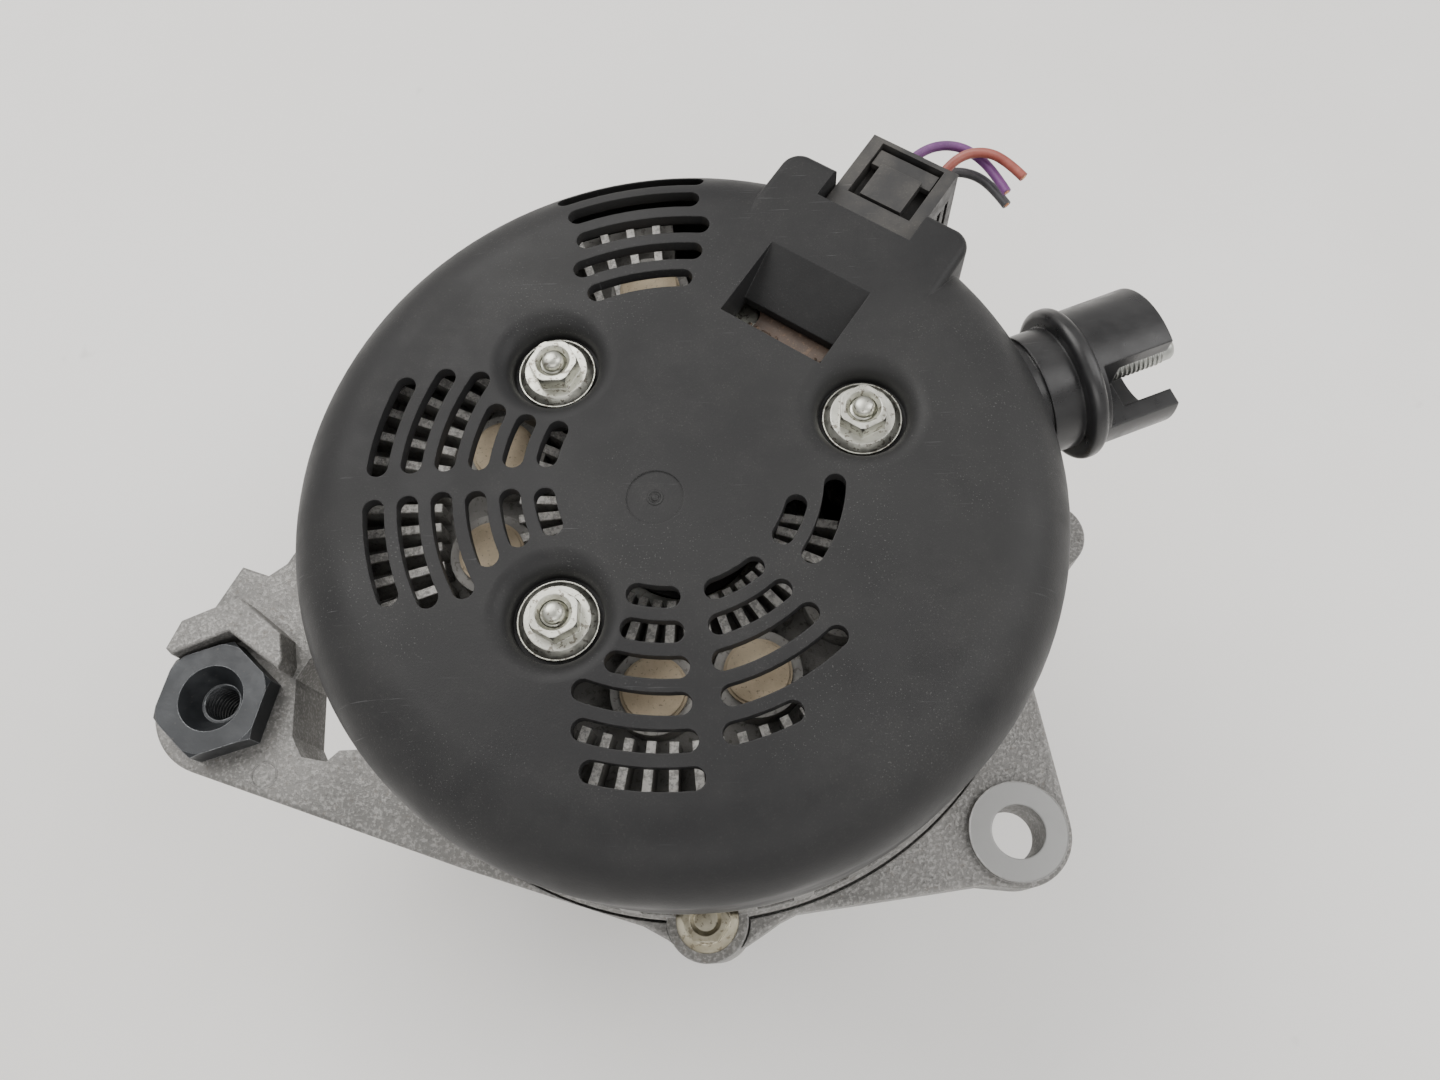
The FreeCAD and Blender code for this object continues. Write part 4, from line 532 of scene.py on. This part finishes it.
def cast_details(g, colour, shine, height):
    """Bright grit and dark pits, with a smooth machined ring round the lug hole."""
    ring = g.math("MULTIPLY", g.span(g.distance(*RIGHT_LUG), 0.0098, 0.0094),
                  g.span(g.axes()[2], 0.0884, 0.0888))
    grit = g.span(g.noise(1500.0, 2.0, 0.6), 0.46, 0.66)
    colour = g.mix(g.math("MULTIPLY", grit, 0.35), colour, (0.55, 0.54, 0.52))
    pits = g.span(g.noise(1100.0, 2.0, 0.6), 0.42, 0.30)
    colour = g.mix(g.math("MULTIPLY", pits, 0.4), colour, (0.09, 0.088, 0.084))
    colour = g.mix(ring, colour, (0.36, 0.36, 0.355))
    shine = g.math("SUBTRACT", shine, g.math("MULTIPLY", ring, 0.1))
    flat = g.math("SUBTRACT", 1.0, g.math("MULTIPLY", ring, 0.92))
    return colour, shine, g.math("MULTIPLY", height, flat)


def sink_grit_painted_light_and_shade(g, colour, shine, height):
    """Rough gritty tops on the fins brightened by painted light, with painted shade darkening the gaps
    between them.
    """
    top = g.span(g.axes()[2], 0.1288, 0.1294)
    # painted shade: the gaps between the fins darkened below their tops
    low = g.span(g.axes()[2], 0.1255, 0.1205)
    colour = g.mix(g.math("MULTIPLY", low, 0.75), colour, (0.06, 0.058, 0.054))
    # painted light: the fin tops brightened, broken up by grit
    grit = g.span(g.noise(1100.0, 3.0, 0.7), 0.38, 0.6, 0.35, 1.0)
    colour = g.mix(g.math("MULTIPLY", top, grit), colour, (0.92, 0.90, 0.86))
    return colour, shine, height


def diode_details(g, colour, shine, height):
    """Dark specks on the pressed discs."""
    specks = g.span(g.noise(1500.0, 3.0, 0.7), 0.60, 0.66)
    colour = g.mix(g.math("MULTIPLY", specks, 0.6), colour, (0.07, 0.055, 0.04))
    return colour, shine, height


def floor_material():
    """Warm white in soft patches, with a few faint stains."""
    g = Graph("pale_floor")
    patches = g.span(g.noise(6.0, 5.0, 0.6), 0.3, 0.7)
    colour = g.mix(patches, (0.90, 0.885, 0.86), (0.94, 0.93, 0.915))
    stain = g.span(g.noise(38.0, 3.0, 0.55), 0.72, 0.78)
    colour = g.mix(g.math("MULTIPLY", stain, 0.22), colour, (0.42, 0.40, 0.39))
    g.feed(g.shader.inputs["Base Color"], colour)
    g.feed(g.shader.inputs["Roughness"], g.span(g.noise(12.0, 3.0, 0.5), 0.3, 0.7, 0.42, 0.6))
    return g.material


def materials():
    grey_dust = (0.26, 0.25, 0.235)
    return {
        "cover_plastic": weathered(
            "cover_plastic", (0.018, 0.018, 0.019), (0.028, 0.028, 0.0285), (0.42, 0.58),
            patch=18.0, grain=2600.0, depth=0.00003, dust=(grey_dust, 0.10),
            scratches=((0.13, 0.13, 0.135), 0.35),
            edge_wear_and_highlight=((0.10, 0.10, 0.10), 0.4), soften=0.0004, after=cover_details, glint=0.2),
        "zinc_steel": weathered(
            "zinc_steel", (0.44, 0.44, 0.39), (0.62, 0.62, 0.56), (0.30, 0.46), 1.0, 140.0, 1800.0,
            0.00003, specks=(900.0, 0.57, (0.12, 0.10, 0.08), 0.7), edge_wear_and_highlight=((0.85, 0.85, 0.82), 0.6)),
        "yellow_zinc": weathered(
            "yellow_zinc", (0.40, 0.36, 0.26), (0.62, 0.58, 0.46), (0.3, 0.45), 1.0, 160.0, 1500.0,
            0.00002, specks=(800.0, 0.58, (0.13, 0.10, 0.07), 0.5), edge_wear_and_highlight=((0.8, 0.77, 0.66), 0.5)),
        "cast_aluminium": weathered(
            "cast_aluminium", (0.165, 0.163, 0.157), (0.245, 0.24, 0.232), (0.42, 0.6), 0.6,
            45.0, 1500.0, 0.0002, specks=(700.0, 0.62, (0.16, 0.14, 0.12), 0.4),
            dust=((0.30, 0.28, 0.25), 0.25),
            edge_wear_and_highlight=((0.62, 0.61, 0.60), 0.6), soften=0.0005, after=cast_details),
        "black_steel": weathered(
            "black_steel", (0.022, 0.024, 0.027), (0.040, 0.043, 0.047), (0.30, 0.46), 0.4, 90.0,
            1300.0, 0.00002, specks=(1100.0, 0.66, (0.12, 0.11, 0.10), 0.3),
            edge_wear_and_highlight=((0.50, 0.52, 0.54), 0.9),
            soften=0.0003),
        "core_steel": weathered(
            "core_steel", (0.20, 0.19, 0.185), (0.33, 0.32, 0.31), (0.38, 0.55), 0.9, 60.0, 900.0,
            0.00003, specks=(600.0, 0.60, (0.14, 0.08, 0.05), 0.45), edge_wear_and_highlight=((0.5, 0.5, 0.5), 0.5)),
        "enamelled_copper": weathered(
            "enamelled_copper", (0.30, 0.10, 0.035), (0.46, 0.18, 0.065), (0.22, 0.38), 0.7, 120.0,
            1600.0, 0.00002, specks=(900.0, 0.62, (0.08, 0.04, 0.02), 0.4)),
        "bare_copper": weathered(
            "bare_copper", (0.52, 0.24, 0.13), (0.72, 0.38, 0.22), (0.25, 0.4), 1.0, 150.0, 2200.0,
            0.00002, specks=(1000.0, 0.6, (0.16, 0.08, 0.05), 0.5), turned=True),
        "tan_plastic": weathered(
            "tan_plastic", (0.38, 0.29, 0.17), (0.50, 0.40, 0.26), (0.45, 0.6), patch=80.0),
        "black_plastic": weathered(
            "black_plastic", (0.018, 0.018, 0.019), (0.034, 0.034, 0.035), (0.42, 0.58), patch=70.0,
            dust=(grey_dust, 0.10)),
        "terminal_plastic": weathered(
            "terminal_plastic", (0.010, 0.010, 0.011), (0.020, 0.020, 0.021), (0.26, 0.40),
            patch=60.0, grain=1400.0, depth=0.000012, dust=(grey_dust, 0.05),
            scratches=((0.10, 0.10, 0.10), 0.3), edge_wear_and_highlight=((0.08, 0.08, 0.08), 0.4), soften=0.0005),
        "plug_plastic": weathered(
            "plug_plastic", (0.020, 0.020, 0.021), (0.042, 0.040, 0.038), (0.42, 0.6), patch=110.0,
            grain=1800.0, dust=((0.32, 0.29, 0.25), 0.22), scratches=((0.2, 0.19, 0.18), 0.5),
            edge_wear_and_highlight=((0.14, 0.13, 0.12), 0.6)),
        "brown_plastic": weathered(
            "brown_plastic", (0.055, 0.034, 0.024), (0.10, 0.064, 0.045), (0.42, 0.6),
            patch=120.0, grain=1500.0, dust=((0.34, 0.29, 0.23), 0.3),
            specks=(800.0, 0.60, (0.20, 0.12, 0.07), 0.4), edge_wear_and_highlight=((0.30, 0.24, 0.18), 0.6)),
        "pulley_steel": weathered(
            "pulley_steel", (0.27, 0.27, 0.27), (0.40, 0.40, 0.40), (0.30, 0.46), 1.0, 70.0, 1200.0,
            0.00002, specks=(700.0, 0.62, (0.12, 0.08, 0.06), 0.4), turned=True,
            edge_wear_and_highlight=((0.6, 0.6, 0.6), 0.6)),
        "bright_steel": weathered(
            "bright_steel", (0.38, 0.39, 0.37), (0.54, 0.55, 0.52), (0.32, 0.46), 0.85, 110.0,
            2200.0, 0.000015, specks=(900.0, 0.60, (0.2, 0.17, 0.14), 0.5),
            dust=((0.42, 0.41, 0.37), 0.35), edge_wear_and_highlight=((0.66, 0.66, 0.64), 0.5)),
        "ball_steel": weathered(
            "ball_steel", (0.66, 0.66, 0.67), (0.78, 0.78, 0.79), (0.07, 0.14), 1.0, 200.0, 2500.0,
            0.000004),
        "sink_aluminium": weathered(
            "sink_aluminium", (0.24, 0.235, 0.225), (0.44, 0.43, 0.41), (0.5, 0.68), 0.2, 130.0, 1500.0,
            0.0001, specks=(900.0, 0.58, (0.09, 0.08, 0.07), 0.5), dust=((0.30, 0.27, 0.23), 0.4),
            after=sink_grit_painted_light_and_shade),
        "diode_metal": weathered(
            "diode_metal", (0.46, 0.37, 0.25), (0.68, 0.57, 0.41), (0.42, 0.58), 0.25, 130.0, 1300.0,
            0.00005, dust=((0.34, 0.28, 0.2), 0.3), edge_wear_and_highlight=((0.6, 0.52, 0.4), 0.5), after=diode_details),
        "carbon": weathered(
            "carbon", (0.030, 0.030, 0.032), (0.055, 0.055, 0.058), (0.35, 0.5), 0.2, 150.0, 2600.0),
        "spring_steel": weathered(
            "spring_steel", (0.42, 0.42, 0.42), (0.58, 0.58, 0.58), (0.2, 0.34), 1.0, 150.0, 2200.0,
            0.00001),
        "tinned_brass": weathered(
            "tinned_brass", (0.46, 0.44, 0.36), (0.64, 0.62, 0.53), (0.25, 0.4), 1.0, 150.0, 2000.0,
            0.00001),
        "purple_wire": weathered(
            "purple_wire", (0.11, 0.028, 0.14), (0.19, 0.06, 0.22), (0.35, 0.5), patch=160.0,
            grain=2600.0, dust=((0.42, 0.38, 0.38), 0.25)),
        "red_wire": weathered(
            "red_wire", (0.26, 0.055, 0.042), (0.38, 0.11, 0.085), (0.35, 0.5), patch=160.0,
            grain=2600.0, dust=((0.62, 0.50, 0.45), 0.35)),
        "grey_wire": weathered(
            "grey_wire", (0.040, 0.040, 0.044), (0.075, 0.075, 0.08), (0.35, 0.5), patch=160.0,
            grain=2600.0, dust=((0.3, 0.3, 0.3), 0.25)),
    }


# ---- put together --------------------------------------------------------------------------------

place_camera()
studio()
finishes = materials()
slots = {entry["node"]: entry["material_slot"] for entry in frame["record"]["subparts"]}


def finish_cad_nodes():
    for name, piece in nodes.items():
        piece.data.materials.clear()
        piece.data.materials.append(finishes[slots[name]])


def dress(piece, body, slot, *replaced):
    piece.data.materials.append(finishes[slot])
    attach(piece, body)
    if replaced:
        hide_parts(*replaced)
    return piece


finish_cad_nodes()

strands = dress(wire_strands(), "plug", "bare_copper")
for name, route in WIRES.items():
    wire = dress(wire_curve(name + "_wire", route), "plug", name + "_wire", "wire_" + name)

dress(cover_studs(), "housing", "zinc_steel", "cover_studs")
dress(terminal_rod(), "housing", "bright_steel", "terminal_stud")
dress(slip_thread(), "housing", "black_steel")
dress(hairpins(), "housing", "enamelled_copper", "stator_winding")
dress(regulator_marks(), "housing", "brown_plastic")
dress(gate_dot(), "housing", "cover_plastic")
dress(arm_mark(), "housing", "cast_aluminium")
for level, height in (("lower", 122.5), ("upper", 130.1)):
    spring = dress(brush_spring(level + "_spring_coil", height), "housing", "spring_steel",
                   level + "_brush_spring")
    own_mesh(spring)

floor_mesh = bpy.data.meshes.new("floor")
floor_mesh.from_pydata([(-3, -3, 0), (3, -3, 0), (3, 3, 0), (-3, 3, 0)], [], [(0, 1, 2, 3)])
floor = bpy.data.objects.new("floor", floor_mesh)
bpy.context.scene.collection.objects.link(floor)
floor_mesh.materials.append(floor_material())
